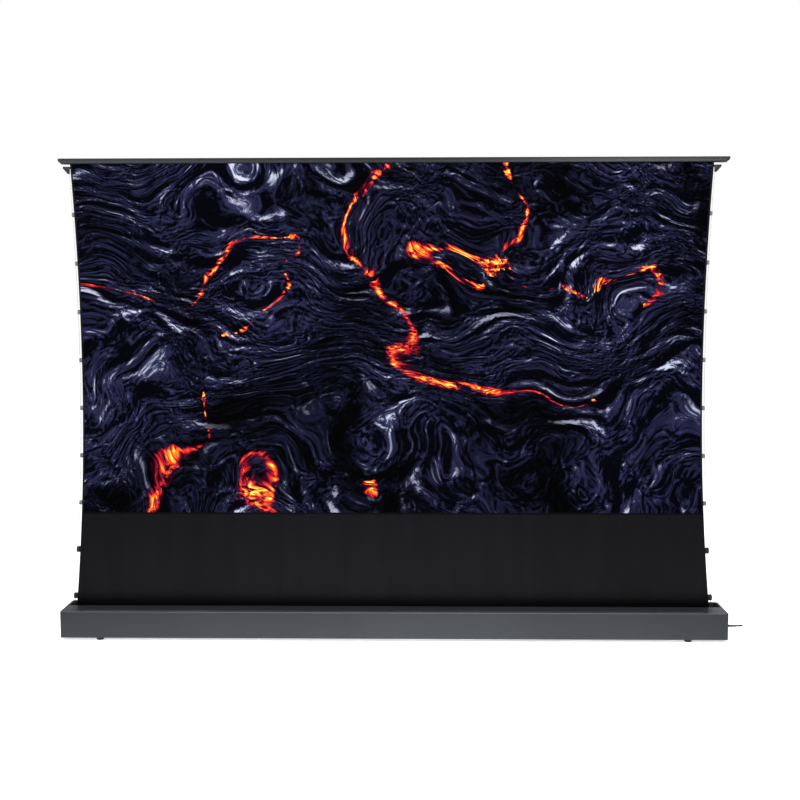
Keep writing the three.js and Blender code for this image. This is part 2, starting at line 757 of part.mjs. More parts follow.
/** Elbow pin: a head at each face and a collar between the two eyes. */
function elbowPin({ side, word }) {
  const radius = pin_diameter / 2;
  const gap = upper_plane - lower_plane - link_width;
  const marks = [
    [0, -head.thickness - seat_gap],
    [head.diameter / 2, -head.thickness - seat_gap],
    [head.diameter / 2, -seat_gap],
    [radius, -seat_gap],
    [radius, link_width + seat_gap],
    [head.diameter / 2, link_width + seat_gap],
    [head.diameter / 2, link_width + gap - seat_gap],
    [radius, link_width + gap - seat_gap],
    [radius, 2 * link_width + gap + seat_gap],
    [head.diameter / 2, 2 * link_width + gap + seat_gap],
    [head.diameter / 2, 2 * link_width + gap + seat_gap + head.thickness],
    [0, 2 * link_width + gap + seat_gap + head.thickness],
  ];
  const mesh = piece(`elbow_pin_${word}`, turned(marks, bore_steps), FINISH.steel);
  const x = side * (gear_radius + link_length * Math.sin(lean));
  mesh.position.set(x, lower_plane, lower_pivot_z + link_length * Math.cos(lean));
  return mesh;
}

/** Two cheeks and a flange that hold the lower pivots on the case's floor. */
function armBase() {
  const low = floor_top + seat_gap;
  const half = gear_radius + base.boss;
  const cheek = outline(
    corner(-base.half, low),
    corner(base.half, low),
    corner(base.half, low + base.shoulder),
    corner(half, lower_pivot_z + base.boss, base.boss),
    corner(-half, lower_pivot_z + base.boss, base.boss),
    corner(-base.half, low + base.shoulder),
  );
  const bores = [-gear_radius, gear_radius].map((x) => circle(x, lower_pivot_z, pin_bore));
  const flange = box(-base.half, base_front, low, base.half, base_rear + base.rearCheek, low + base.flange);
  return piece('arm_base', joined(
    flange,
    alongY(cheek, base_front, base.frontCheek, bores),
    alongY(cheek, base_rear, base.rearCheek, bores),
  ), FINISH.steel);
}

function lowerPin({ side, word }) {
  const radius = pin_diameter / 2;
  const length = base_rear + base.rearCheek - base_front;
  const mesh = piece(`lower_pin_${word}`, turned([
    [0, -head.thickness - seat_gap],
    [head.diameter / 2, -head.thickness - seat_gap],
    [head.diameter / 2, -seat_gap],
    [radius, -seat_gap],
    [radius, length],
    [0, length],
  ], bore_steps), FINISH.steel);
  mesh.position.set(side * gear_radius, base_front, lower_pivot_z);
  return mesh;
}

// Top bar: the lid, the batten that carries the fabric and the clevis of the upper pivots

const lid = { skin: 2.5, rearLip: 2.2, rib: 2, edge: 1.6, topEdge: 1, endCap: 14, stiffener: 5, skirt: 4 };
const lidCap = { blockLength: 33, blockDrop: 6, slopeWidth: 13, slopeHeight: 9.5, edge: 1.5 };
const bracketEnd = {
  height: 25.5, width: 24, inset: 2.4, foot: 7, lip: 6, depth: 9.2, tongue: 44, strap: 2.7,
};

const rail_half = lid_half - lidCap.blockLength - Math.abs(fabric_offset) - rail.capGap;
const lid_front = front + lid_setback;
const lid_rear = lid_front + lid_depth;
const skin_under = raised_height - lid.skin;
const batten_front = fabric_front + fabric_thickness + seat_gap;
const batten_rear = batten_front + rail.thickness;
const batten_top = skin_under - rail.seat;

/** Lid extrusion: skin, lips, a skirt over the fabric's edge, the batten's slot and a rib. */
function lidExtrusion() {
  const slot_front = batten_front - seat_gap;
  const slot_rear = batten_rear + seat_gap;
  const rib = (slot_rear + clevis_front) / 2;
  const skirt_rear = fabric_front - seat_gap;
  const skirt_bottom = lid_bottom - lid.skirt;
  const profile = outline(
    corner(lid_front, skirt_bottom + lid.edge),
    corner(lid_front, raised_height, lid.topEdge),
    corner(lid_rear, raised_height, lid.topEdge),
    corner(lid_rear, lid_bottom),
    corner(lid_rear - lid.rearLip, lid_bottom),
    corner(lid_rear - lid.rearLip, skin_under),
    corner(rib + lid.rib, skin_under),
    corner(rib + lid.rib, skin_under - lid.stiffener),
    corner(rib, skin_under - lid.stiffener),
    corner(rib, skin_under),
    corner(slot_rear + lid.rib, skin_under),
    corner(slot_rear + lid.rib, lid_bottom),
    corner(slot_rear, lid_bottom),
    corner(slot_rear, skin_under),
    corner(slot_front, skin_under),
    corner(slot_front, lid_bottom),
    corner(skirt_rear, lid_bottom),
    corner(skirt_rear, skirt_bottom),
    corner(lid_front + lid.edge, skirt_bottom),
  );
  const half = lid_half - lid.endCap - seat_gap;
  const skirt_half = lid_half - lidCap.blockLength - seat_gap;
  const ends = SIDES.map(({ side }) => {
    const near = side * skirt_half;
    const far = side * (half + overrun);
    return box(Math.min(near, far), lid_front - overrun, skirt_bottom - overrun, Math.max(near, far),
      lid_rear + overrun, lid_bottom);
  });
  return piece('lid', cut(alongX(profile, -half, 2 * half), ...ends), FINISH.lid);
}

/** Lid end cap: closes the extrusion and steps down under it, with a sloped outer corner. */
function lidEndCap({ side, word }) {
  const x = (distance) => side * (lid_half - distance);
  const foot_z = lid_bottom - lidCap.blockDrop;
  const shape = outline(
    corner(x(0), raised_height, lidCap.edge),
    corner(x(0), raised_height - lidCap.slopeHeight),
    corner(x(lidCap.slopeWidth), foot_z),
    corner(x(lidCap.blockLength), foot_z, lidCap.edge),
    corner(x(lidCap.blockLength), lid_bottom - seat_gap),
    corner(x(lid.endCap), lid_bottom - seat_gap),
    corner(x(lid.endCap), raised_height),
  );
  return piece(`lid_end_cap_${word}`, alongY(shape, lid_front, lid_depth), FINISH.blackPlastic);
}

/** Batten behind the fabric's top edge; its upper part sits in the lid's slot. */
function topBatten() {
  const shape = box(fabric_offset - rail_half, batten_front, batten_top - rail.height,
    fabric_offset + rail_half, batten_rear, batten_top);
  return piece('top_batten', shape, FINISH.aluminium);
}

/** Bracket on the batten's end: a tapered block for the cord and a strap behind the batten. */
function cordBracket({ side, word }) {
  const top = fabric_top - notch.height;
  const inner = halfWidth(top) + bracketEnd.inset;
  const x = (distance) => fabric_offset + side * (inner + distance);
  const block = outline(
    corner(x(0), top),
    corner(x(bracketEnd.width), top),
    corner(x(bracketEnd.width), top - bracketEnd.lip),
    corner(x(bracketEnd.foot), top - bracketEnd.height, lidCap.edge),
    corner(x(0), top - bracketEnd.height),
  );
  const strap_front = batten_rear + seat_gap;
  const strap_rear = strap_front + bracketEnd.strap;
  const strap_ends = [x(bracketEnd.foot), x(-bracketEnd.tongue)].sort((a, b) => a - b);
  const strap = box(strap_ends[0], strap_front, batten_top - rail.height, strap_ends[1], strap_rear, top);
  const body = joined(alongY(block, strap_rear - bracketEnd.depth, bracketEnd.depth), strap);
  const bored = cut(body, cordTube(side, cord.diameter + 2 * seat_gap));
  return piece(`cord_bracket_${word}`, bored, FINISH.blackPlastic);
}

/** Clevis under the lid that holds the two upper pivots, with a window between them. */
function topClevis() {
  const high = skin_under - seat_gap;
  const half = gear_radius + clevis.boss;
  const cheek = outline(
    corner(-clevis.half, high),
    corner(-clevis.half, lid_bottom),
    corner(-half, upper_pivot_z - clevis.boss, clevis.boss),
    corner(half, upper_pivot_z - clevis.boss, clevis.boss),
    corner(clevis.half, lid_bottom),
    corner(clevis.half, high),
  );
  const bores = [-gear_radius, gear_radius].map((x) => circle(x, upper_pivot_z, pin_bore));
  const window_hole = circle(0, upper_pivot_z + clevis.window, clevis.window);
  const rear = clevis_rear + clevis.rearCheek;
  const flange = box(-clevis.half, clevis_front, high - clevis.flange, clevis.half, rear, high);
  return piece('top_clevis', joined(
    flange,
    alongY(cheek, clevis_front, clevis.frontCheek, [...bores, window_hole]),
    alongY(cheek, clevis_rear, clevis.rearCheek, [...bores, window_hole]),
  ), FINISH.steel);
}

function topPin({ side, word }) {
  const radius = pin_diameter / 2;
  const length = clevis_rear + clevis.rearCheek - clevis_front;
  const mesh = piece(`top_pin_${word}`, turned([
    [0, 0],
    [radius, 0],
    [radius, length + seat_gap],
    [head.diameter / 2, length + seat_gap],
    [head.diameter / 2, length + seat_gap + head.thickness],
    [0, length + seat_gap + head.thickness],
  ], bore_steps), FINISH.steel);
  mesh.position.set(side * gear_radius, clevis_front, upper_pivot_z);
  return mesh;
}

// Power lead: leaves the right end, goes down behind the case and lies there in a coil

const lead_exit_y = 20;
const lead_exit_z = 34.3;
const lead_diameter = 5;
const lead_pitch = 5.5;
const lead_sides = 8;
const gland = {
  flange: 15, flangeLength: 3, neck: 11, length: 54.5, root: 10, tip: 6.6, nut: 16, nutLength: 5,
  ribs: 5, ribHalf: 1, ribDepth: 0.5,
};
const tie = { width: 12, thickness: 1, gap: 0.6 };
const coil = { x: 1060, y: 158, innerRadius: 21, turnsPerLayer: 2.125, layers: 4, steps: 24, sides: 6 };
const tangent_share = 0.1;
const gap_samples = 1200;
const apart_share = 1 / 3;
const plug = {
  length: 38, width: 26, height: 18, corner: 5, sleeve: 24, sleeveTip: 7, sleeveRoot: 11, sleeveSeat: 1,
  pin: 4.8, pinSeat: 5, pinReach: 19, pinSpacing: 19, pinTip: 3.2, tipLength: 3,
};

/** Strain relief: a nut inside the end cap, a flange outside and a ribbed taper. */
function cordGland() {
  const ribs = Array.from({ length: gland.ribs }, (_, i) => {
    const share = (i + 1) / (gland.ribs + 1);
    const x = gland.flangeLength + (gland.length - gland.flangeLength) * share;
    const radius = (gland.root + (gland.tip - gland.root) * share) / 2;
    return [[radius, x - gland.ribHalf], [radius - gland.ribDepth, x], [radius, x + gland.ribHalf]];
  }).flat();
  const inside = -end_plate - seat_gap;
  const mesh = piece('cord_gland', turnedX([
    [0, inside - gland.nutLength],
    [gland.nut / 2, inside - gland.nutLength],
    [gland.nut / 2, inside],
    [gland.neck / 2, inside],
    [gland.neck / 2, seat_gap],
    [gland.flange / 2, seat_gap],
    [gland.flange / 2, gland.flangeLength],
    [gland.root / 2, gland.flangeLength],
    ...ribs,
    [gland.tip / 2, gland.length],
    [0, gland.length],
  ], bore_steps), FINISH.blackPlastic);
  mesh.position.set(case_length / 2, lead_exit_y, lead_exit_z);
  return mesh;
}

const coil_turns = coil.turnsPerLayer * coil.layers;
const coil_floor = tie.thickness + tie.gap + lead_diameter / 2;

/** Point of the coil after a number of turns: spiral in, climb a layer, spiral out, and so on. */
function coilPoint(turns) {
  const layer = Math.min(Math.floor(turns / coil.turnsPerLayer), coil.layers - 1);
  const into = turns - layer * coil.turnsPerLayer;
  const inward = layer % 2 === 0;
  const radius = coil.innerRadius + lead_pitch * (inward ? coil.turnsPerLayer - into : into);
  const nearest = Math.round(turns / coil.turnsPerLayer);
  const reversal = THREE.MathUtils.clamp(nearest, 1, coil.layers - 1);
  const climb = THREE.MathUtils.clamp((turns - reversal * coil.turnsPerLayer) * 2 + 0.5, 0, 1);
  const angle = -Math.PI / 2 - 2 * Math.PI * turns;
  return new THREE.Vector3(
    coil.x + radius * Math.cos(angle),
    coil.y + radius * Math.sin(angle),
    coil_floor + lead_pitch * (reversal - 1 + climb),
  );
}

/** The coil as one unbroken tube: rings of points square to the path, joined by faces. */
function coilGeometry() {
  const steps = Math.round(coil_turns * coil.steps);
  const turns = Array.from({ length: steps + 1 }, (_, i) => (coil_turns * i) / steps);
  const nearby = tangent_share / coil.steps;
  const up = new THREE.Vector3(0, 0, 1);
  const vertices = [];
  turns.forEach((turn) => {
    const point = coilPoint(turn);
    const ahead = coilPoint(Math.min(turn + nearby, coil_turns))
      .sub(coilPoint(Math.max(turn - nearby, 0)))
      .normalize();
    const across = new THREE.Vector3().crossVectors(ahead, up).normalize();
    const lift = new THREE.Vector3().crossVectors(across, ahead);
    for (let k = 0; k < coil.sides; k += 1) {
      const angle = (2 * Math.PI * k) / coil.sides;
      vertices.push(point.clone()
        .addScaledVector(across, (lead_diameter / 2) * Math.cos(angle))
        .addScaledVector(lift, (lead_diameter / 2) * Math.sin(angle)));
    }
  });
  const faces = [];
  for (let i = 0; i < steps; i += 1) {
    for (let k = 0; k < coil.sides; k += 1) {
      const a = i * coil.sides + k;
      const b = i * coil.sides + ((k + 1) % coil.sides);
      faces.push(a, a + coil.sides, b, b, a + coil.sides, b + coil.sides);
    }
  }
  const last = steps * coil.sides;
  for (let k = 1; k < coil.sides - 1; k += 1) {
    faces.push(0, k, k + 1);
    faces.push(last, last + k + 1, last + k);
  }
  const geometry = new THREE.BufferGeometry().setFromPoints(vertices);
  geometry.setIndex(faces);
  geometry.computeVertexNormals();
  return geometry;
}

/** Least gap between points of the coil that are well apart along it, less its thickness. */
function coilGap() {
  const step = coil_turns / (gap_samples - 1);
  const samples = Array.from({ length: gap_samples }, (_, i) => coilPoint(step * i));
  const apart = Math.ceil((apart_share * gap_samples) / coil_turns);
  let least = Infinity;
  samples.forEach((point, i) => {
    for (let j = i + apart; j < samples.length; j += 1) least = Math.min(least, point.distanceTo(samples[j]));
  });
  return least - lead_diameter;
}

const coil_start = coilPoint(0);
const coil_end = coilPoint(coil_turns);
const gland_tip_x = case_length / 2 + gland.length + seat_gap;

/** Route of the lead from its strain relief to the coil. */
const lead_route = [
  [gland_tip_x, lead_exit_y, lead_exit_z],
  [gland_tip_x + 7, 20, 34.3],
  [1265, 21.6, 33.9],
  [1272, 26.6, 33],
  [1276, 34, 31.6],
  [1276.5, 44, 29.4],
  [1273.5, 57, 25.8],
  [1268, 70, 21.2],
  [1260, 84, 15.8],
  [1249.5, 97, 10.6],
  [1236, 108.5, 6.6],
  [1219, 117.6, 4.5],
  [1199, 123.2, coil_floor],
  [1176, 125.4, coil_floor],
  [1150, coil_start.y + 0.4, coil_floor],
  [1126, coil_start.y, coil_floor],
  [1104, coil_start.y, coil_floor],
  [1082, coil_start.y, coil_floor],
  [coil_start.x + seat_gap, coil_start.y, coil_start.z],
];

/** Route of the lead from the coil down to the plug's sleeve. */
const plug_route = [
  [coil_end.x + seat_gap, coil_end.y, coil_end.z],
  [1067, coil_end.y, 20.5],
  [1078, coil_end.y - 0.4, 19.6],
  [1090, coil_end.y - 1.6, 17.4],
  [1102, coil_end.y - 3.6, 14.4],
  [1114, coil_end.y - 6.2, 11.6],
  [1125, coil_end.y - 8.6, 9.7],
  [1136, coil_end.y - 10.2, 9.1],
  [1144, coil_end.y - 10.6, 9],
  [1150, coil_end.y - 10.6, 9],
];

function leadTube(name, route, steps) {
  const points = route.map(([x, y, z]) => new THREE.Vector3(x, y, z));
  const curve = new THREE.CatmullRomCurve3(points, false, 'centripetal');
  const section = new THREE.Shape(circle(0, 0, lead_diameter / 2, lead_sides));
  const tube = new THREE.ExtrudeGeometry(section, { extrudePath: curve, steps });
  return piece(name, tube, FINISH.blackPlastic);
}

/** Two-pin plug lying on the floor, with its sleeve towards the lead. */
function mainsPlug() {
  const [x, y] = plug_route[plug_route.length - 1];
  const middle = plug.height / 2;
  const sleeve = turnedX([
    [0, 0],
    [plug.sleeveTip / 2, 0],
    [plug.sleeveRoot / 2, plug.sleeve],
    [0, plug.sleeve],
  ], bore_steps);
  const body = alongX(outline(
    corner(-plug.width / 2, -middle, plug.corner),
    corner(plug.width / 2, -middle, plug.corner),
    corner(plug.width / 2, middle, plug.corner),
    corner(-plug.width / 2, middle, plug.corner),
  ), plug.sleeve - plug.sleeveSeat, plug.length);
  const pins = [-1, 1].map((side) => turnedX([
    [0, 0],
    [plug.pin / 2, 0],
    [plug.pin / 2, plug.pinSeat + plug.pinReach],
    [plug.pinTip / 2, plug.pinSeat + plug.pinReach + plug.tipLength],
    [0, plug.pinSeat + plug.pinReach + plug.tipLength],
  ], bore_steps / 2).translate(plug.sleeve + plug.length - plug.pinSeat, (side * plug.pinSpacing) / 2, 0));
  const mesh = piece('mains_plug', joined(body, sleeve, ...pins), FINISH.blackPlastic);
  mesh.position.set(x + seat_gap, y, middle);
  return mesh;
}

/** Tie round the coil's turns. */
function cordTie() {
  const inner = coil.innerRadius - lead_diameter / 2 - tie.gap;
  const outer = coil.innerRadius + lead_pitch * coil.turnsPerLayer + lead_diameter / 2 + tie.gap;
  const top = coil_floor + lead_pitch * (coil.layers - 1) + lead_diameter / 2 + tie.gap;
  const band = (grow) => outline(
    corner(coil.x - outer - grow, tie.thickness - grow, grow),
    corner(coil.x - inner + grow, tie.thickness - grow, grow),
    corner(coil.x - inner + grow, top + grow, grow),
    corner(coil.x - outer - grow, top + grow, grow),
  );
  return piece('cord_tie', alongY(band(tie.thickness), coil.y - tie.width / 2, tie.width, [band(0)]),
    FINISH.blackPlastic);
}

console.log(`least gap of the coil to itself: ${coilGap().toFixed(2)} mm`);

const lead = assembly(
  cordGland(),
  leadTube('power_cord', lead_route, 40),
  piece('power_cord_coil', coilGeometry(), FINISH.blackPlastic),
  leadTube('plug_lead', plug_route, 14),
  mainsPlug(),
  cordTie(),
);

const caseGroup = assembly(
  baseChannel(),
  frontPanel(),
  rollerCover(),
  ...SIDES.map(({ side, word }) => endCap(side, word)),
  ...footPlaces().map(rubberFoot),
  idlerBracket(),
  idlerPin(),
  motorBracket(),
  tubeMotor(),
  controlBox(),
  armBase(),
  ...SIDES.map(lowerPin),
);

const rollerGroup = assembly(rollerTube(), fabricRoll(), limitRing(), driveWheel(), idlerPlug());

const fabricGroup = assembly(screenFabric(), blackDrop(), ...SIDES.map(tensionCord));

const armsGroup = assembly(...SIDES.map(lowerLink), ...SIDES.map(elbowPin), ...SIDES.map(upperLink));

const topBar = assembly(
  lidExtrusion(),
  ...SIDES.map(lidEndCap),
  topBatten(),
  ...SIDES.map(cordBracket),
  topClevis(),
  ...SIDES.map(topPin),
);

const projection_screen = assembly(caseGroup, rollerGroup, fabricGroup, armsGroup, topBar, lead);

export default projection_screen;
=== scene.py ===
"""Looks of a floor-rising projection screen: cloth, cords, power lead, finishes, light and camera.

Metres. X runs to the right, Y to the back and Z up, as in the frame. The screen stands raised.
"""

import json
import math
from functools import partial

import bmesh
import bpy
from bpy.props import FloatProperty, FloatVectorProperty, IntProperty, PointerProperty
from mathutils import Matrix, Vector


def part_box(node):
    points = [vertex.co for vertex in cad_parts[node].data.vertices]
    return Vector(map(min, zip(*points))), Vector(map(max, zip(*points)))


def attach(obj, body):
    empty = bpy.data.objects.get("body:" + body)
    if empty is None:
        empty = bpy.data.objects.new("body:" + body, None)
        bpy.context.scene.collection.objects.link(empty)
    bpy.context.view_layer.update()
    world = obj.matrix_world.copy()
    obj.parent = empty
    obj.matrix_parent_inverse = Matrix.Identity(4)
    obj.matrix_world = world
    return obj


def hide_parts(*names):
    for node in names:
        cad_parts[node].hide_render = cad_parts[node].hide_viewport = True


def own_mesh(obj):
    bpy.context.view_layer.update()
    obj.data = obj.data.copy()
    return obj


bl_info = {
    "name": "Projection Screen",
    "version": (1, 0, 0),
    "blender": (4, 5, 0),
    "location": "3D View > Sidebar > Screen",
    "description": "Cloth, cords, finishes and stage of a floor-rising projection screen",
    "category": "Object",
}

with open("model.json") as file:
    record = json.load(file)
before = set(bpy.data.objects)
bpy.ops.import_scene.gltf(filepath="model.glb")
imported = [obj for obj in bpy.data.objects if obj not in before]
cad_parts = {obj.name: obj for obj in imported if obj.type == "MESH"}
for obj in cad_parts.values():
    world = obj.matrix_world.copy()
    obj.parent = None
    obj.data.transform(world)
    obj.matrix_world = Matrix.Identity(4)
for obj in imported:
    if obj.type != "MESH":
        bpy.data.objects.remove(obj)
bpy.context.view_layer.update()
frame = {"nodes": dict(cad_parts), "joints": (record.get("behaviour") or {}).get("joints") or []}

MM = 0.001
FULL_TURN = 2 * math.pi
QUARTER_TURN = math.pi / 2

# Points nearer than this are one, and edges that turn by more are sharp
WELDED = 0.001 * MM
SHARP = math.radians(38)

SIDES = ((-1, "left"), (1, "right"))
FOLD_JOINT = "lower_left_pivot"
JOINTS = {joint["name"]: joint for joint in frame["joints"]}

# Places that the frame gives
CASE_LOW, CASE_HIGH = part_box("base_channel")
CLOTH_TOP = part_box("screen_fabric")[1].z
PICTURE_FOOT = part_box("black_drop")[1].z
ROLLER_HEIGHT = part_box("black_drop")[0].z
LID_LOW, LID_HIGH = (corner.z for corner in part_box("lid"))
ROLL_LOW, ROLL_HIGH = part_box("fabric_roll")
PIVOT, ELBOW, TOP_PIVOT = (
    Vector(JOINTS[name]["pos_m"]) for name in (FOLD_JOINT, "left_elbow", "top_pivot")
)

# Lean of the raised arms, and the way that the lid travels down as they fold flat
LEAN = math.atan2(PIVOT.x - ELBOW.x, ELBOW.z - PIVOT.z)
LINK = (ELBOW - PIVOT).xz.length
FOLD = math.radians(JOINTS[FOLD_JOINT]["range_deg"][1])
LID_TRAVEL = 2 * (ELBOW.z - PIVOT.z - LINK * math.cos(LEAN + FOLD))

# The drop and the cords reach down beside the roll, unseen, so that no gap opens on the way
TUCKED = 30 * MM
HIDDEN_FOOT = ROLLER_HEIGHT - TUCKED

# Heights under the batten in the folded case, handed on with the tabs and the cords
GATHERED = (ROLL_HIGH.z - 10 * MM, ROLL_HIGH.z)


def linear(colour):
    """Linear colour of an sRGB hex value."""
    shares = [int(colour[i : i + 2], 16) / 255 for i in (1, 3, 5)]
    return tuple(s / 12.92 if s <= 0.04045 else ((s + 0.055) / 1.055) ** 2.4 for s in shares)


def paint(name, description, default):
    """Colour property, given as an sRGB hex value."""
    return FloatVectorProperty(
        name=name, description=description, default=linear(default),
        subtype="COLOR", size=3, min=0, max=1,
    )


def measure(name, description, millimetres):
    """Length property, given in millimetres."""
    return FloatProperty(
        name=name, description=description, default=millimetres * MM,
        min=0, unit="LENGTH", precision=4,
    )


class ClothSizes(bpy.types.PropertyGroup):
    """Sizes of the stretched cloth and of what is sewn or welded to it."""

    offset: FloatProperty(
        name="Offset", description="Middle of the cloth, right of the case's middle",
        default=-6.5 * MM, unit="LENGTH", precision=4,
    )
    foot_half: measure("Half width at the foot", "Half the cloth's width at the case", 1154)
    waist_draw: measure("Waist draw", "How far each side is drawn in at the waist", 41)
    waist_height: measure("Waist height", "Height of the narrowest place", 960)
    top_draw: measure("Top draw", "How far each side is drawn in at the lid", 16)
    middle: measure("Middle plane", "Cloth's middle, behind the case's middle", 13.6)
    thickness: measure("Thickness", "Thickness of the cloth", 0.6)
    border: measure("Border", "Black border down each side of the picture", 6.5)
    weave: measure("Weave", "Spacing of the drawn threads", 1.2)
    tab_spacing: measure("Tab spacing", "Height between two tabs", 172.6)
    first_tab: measure("First tab", "Height of the highest tab", 1522.5)
    tab_count: IntProperty(name="Tabs", description="Tabs down each side", default=9, min=1)
    black_tab_count: IntProperty(
        name="Black tabs", description="Tabs on the black drop", default=2, min=0
    )
    cord_diameter: measure("Cord diameter", "Diameter of the tension cords", 2.2)
    cord_top_gap: measure("Cord gap at the lid", "From the cloth's side to the cord", 5)
    cord_foot_gap: measure("Cord gap at the roller", "From the cloth's side to the cord", 9)
    hem: measure("Hem", "Height of the hem that joins the picture cloth and the drop", 6.5)


class FinishColours(bpy.types.PropertyGroup):
    """Colours of the finishes."""

    titanium: paint("Titanium grey", "Anodised case", "#3f4144")
    lid_grey: paint("Lid grey", "Anodised lid", "#252629")
    aluminium: paint("Mill aluminium", "Arms, roller tube and batten", "#b4b6b8")
    steel: paint("Zinc-plated steel", "Brackets, pins and motor", "#a4a6a8")
    plastic: paint("Black plastic", "Caps, brackets and plug", "#141516")
    grey_plastic: paint("Grey plastic", "Tabs beside the picture", "#6f7175")
    rubber: paint("Rubber", "Feet", "#151515")
    jacket: paint("Cable jacket", "Power lead", "#141415")
    black_cloth: paint("Black cloth", "Drop and border of the picture", "#19191b")
    coated_back: paint("Coated back", "Back of the picture cloth", "#2c2c2f")
    braid: paint("Braid", "Tension cords", "#cfcec9")
    ground: paint("Ground", "Deepest colour of the marbled picture", "#020207")
    vein: paint("Vein", "Drawn-out veins in the picture", "#2b2c4c")
    crest: paint("Crest", "Lit crests of the veins", "#bcc1d6")
    nickel: paint("Nickel", "Plug pins", "#c9c5bb")


class LeadSizes(bpy.types.PropertyGroup):
    """Sizes of the power lead."""

    diameter: measure("Diameter", "Diameter of the lead", 5)
    length: measure("Length", "Length from the strain relief to the plug", 1800)
    coil_x: measure("Coil X", "Middle of the coil, right of the case's middle", 1060)
    coil_y: measure("Coil Y", "Middle of the coil, behind the case's middle", 158)
    inner_radius: measure("Inner radius", "Radius of the innermost turn", 21)
    pitch: measure("Pitch", "From one turn to the next", 5.5)
    turns_per_layer: FloatProperty(
        name="Turns per layer", description="Turns in a layer", default=2.125
    )
    layers: IntProperty(name="Layers", description="Layers of the coil", default=4, min=2)
    lift: measure("Lift", "Height of the lowest turn's middle", 4.1)


class StageSettings(bpy.types.PropertyGroup):
    """Light and camera."""

    floor: paint("Floor", "Colour of the floor", "#f4f4f4")
    floor_size: FloatProperty(
        name="Floor size", description="Side of the floor", default=40, unit="LENGTH"
    )
    lens: FloatProperty(
        name="Lens", description="Focal length in millimetres", default=52.75, unit="CAMERA"
    )
    sky: FloatProperty(name="Sky", description="Strength of the even light", default=0.42, min=0)
    floor_white: FloatProperty(
        name="Floor white", description="Lifts the seen floor to white and keeps the shadow on it",
        default=0.62, min=0,
    )


# Node helpers

# Noise lies mostly between these values
NOISE_LOW, NOISE_HIGH = 0.3, 0.7
WHITE = (1, 1, 1)


def add_node(tree, kind, *values, stops=(), output=None, **named):
    """Adds a node with its settings and links, and gives its first output or the one named.

    The values fill its inputs in the order in which the node shows them. A name in capitals is an
    input too, and one in small letters is a setting. Stops fill a colour ramp.
    """
    node = tree.nodes.new("ShaderNode" + kind)
    inputs = {name.replace("_", " "): named[name] for name in named if not name.islower()}
    for name in filter(str.islower, named):
        setattr(node, name, named[name])
    pairs = [*zip([socket for socket in node.inputs if socket.enabled], values)]
    for socket, value in pairs + [(node.inputs[name], inputs[name]) for name in inputs]:
        if isinstance(value, bpy.types.NodeSocket):
            tree.links.new(value, socket)
        else:
            socket.default_value = value
    for i, (place, colour) in enumerate(stops):
        ramp = node.color_ramp.elements
        stop = ramp[i] if i < 2 else ramp.new(place)
        stop.position = place
        stop.color = colour
    if output:
        return node.outputs[output]
    return next((socket for socket in node.outputs if socket.enabled), None)


def per_metre(millimetres):
    """Pattern scale that repeats once in a real size; a wave's bands are 0.63 of it apart."""
    return 1 / (millimetres * MM)


def shade(colour, share=1.0):
    """A share of a colour, as a socket takes it."""
    return (*(min(1, c * share) for c in colour[:3]), 1)


def grey(value):
    return shade(WHITE, value)


def shades(colour, *stops):
    """Ramp stops from (place, share of the colour) pairs."""
    return [(place, shade(colour, share)) for place, share in stops]


def new_material(name, mapped=False, **values):
    """Material with a Principled shader, what adds nodes to it, and the place its patterns read.

    That is the place in the object, or on a mapped cloth the one on its flat map. The values are
    the same all over.
    """
    material = bpy.data.materials.new(name)
    material.use_nodes = True
    material.node_tree.nodes.clear()
    add = partial(add_node, material.node_tree)
    add("OutputMaterial", add("BsdfPrincipled", **values))
    if mapped:
        return material, add, add("UVMap", uv_map="flat")
    return material, add, add("TexCoord", output="Object")


def surface(material, base, rough=None, relief=None, **others):
    """Links a base colour, a roughness that follows a pattern, and a relief to the shader.

    Roughness is a pattern with its least and its most, and relief is a pattern with its strength
    and its depth in millimetres.
    """
    tree = material.node_tree
    joined = {"Base_Color": base, **others}
    if rough:
        pattern, *limits = rough
        joined["Roughness"] = add_node(tree, "MapRange", pattern, NOISE_LOW, NOISE_HIGH, *limits)
    if relief:
        pattern, strength, depth = relief
        joined["Normal"] = add_node(tree, "Bump", strength, depth * MM, Height=pattern)
    for name, socket in joined.items():
        tree.links.new(socket, tree.nodes["Principled BSDF"].inputs[name.replace("_", " ")])
    return material


# Mesh helpers


def linked(name, data, material=None):
    """Links an object to the scene, with its finish."""
    made = bpy.data.objects.new(name, data)
    bpy.context.scene.collection.objects.link(made)
    if material:
        data.materials.append(material)
    return made


def mesh_of(bm, name):
    mesh = bpy.data.meshes.new(name)
    bm.to_mesh(mesh)
    bm.free()
    return mesh


def piece_of(bm, name, material, body=None, slot=None, *nodes):
    """Makes a bmesh a piece that rides on a body, smooth but for its sharp edges."""
    bmesh.ops.recalc_face_normals(bm, faces=bm.faces)
    for face in bm.faces:
        face.smooth = True
    mesh = mesh_of(bm, name)
    mesh.set_sharp_from_angle(angle=SHARP)
    piece = linked(name, mesh, material)
    if body:
        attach(piece, body)
    if nodes:
        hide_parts(*nodes)
    return piece


def walled(piece, thickness):
    """Gives a sheet its thickness, half to each side."""
    wall = piece.modifiers.new("thickness", "SOLIDIFY")
    wall.thickness = thickness
    wall.offset = 0
    return piece


def bevel(bm, geom, offset, segments, affect="EDGES"):
    bmesh.ops.bevel(
        bm, geom=geom, offset=offset, segments=segments, profile=0.5, affect=affect, material=-1
    )


def soften(bm, offset, least=40):
    """Rounds the edges that turn by more than an angle in degrees."""
    bmesh.ops.recalc_face_normals(bm, faces=bm.faces)
    bevel(bm, [e for e in bm.edges if e.calc_face_angle(0) > math.radians(least)], offset, 2)


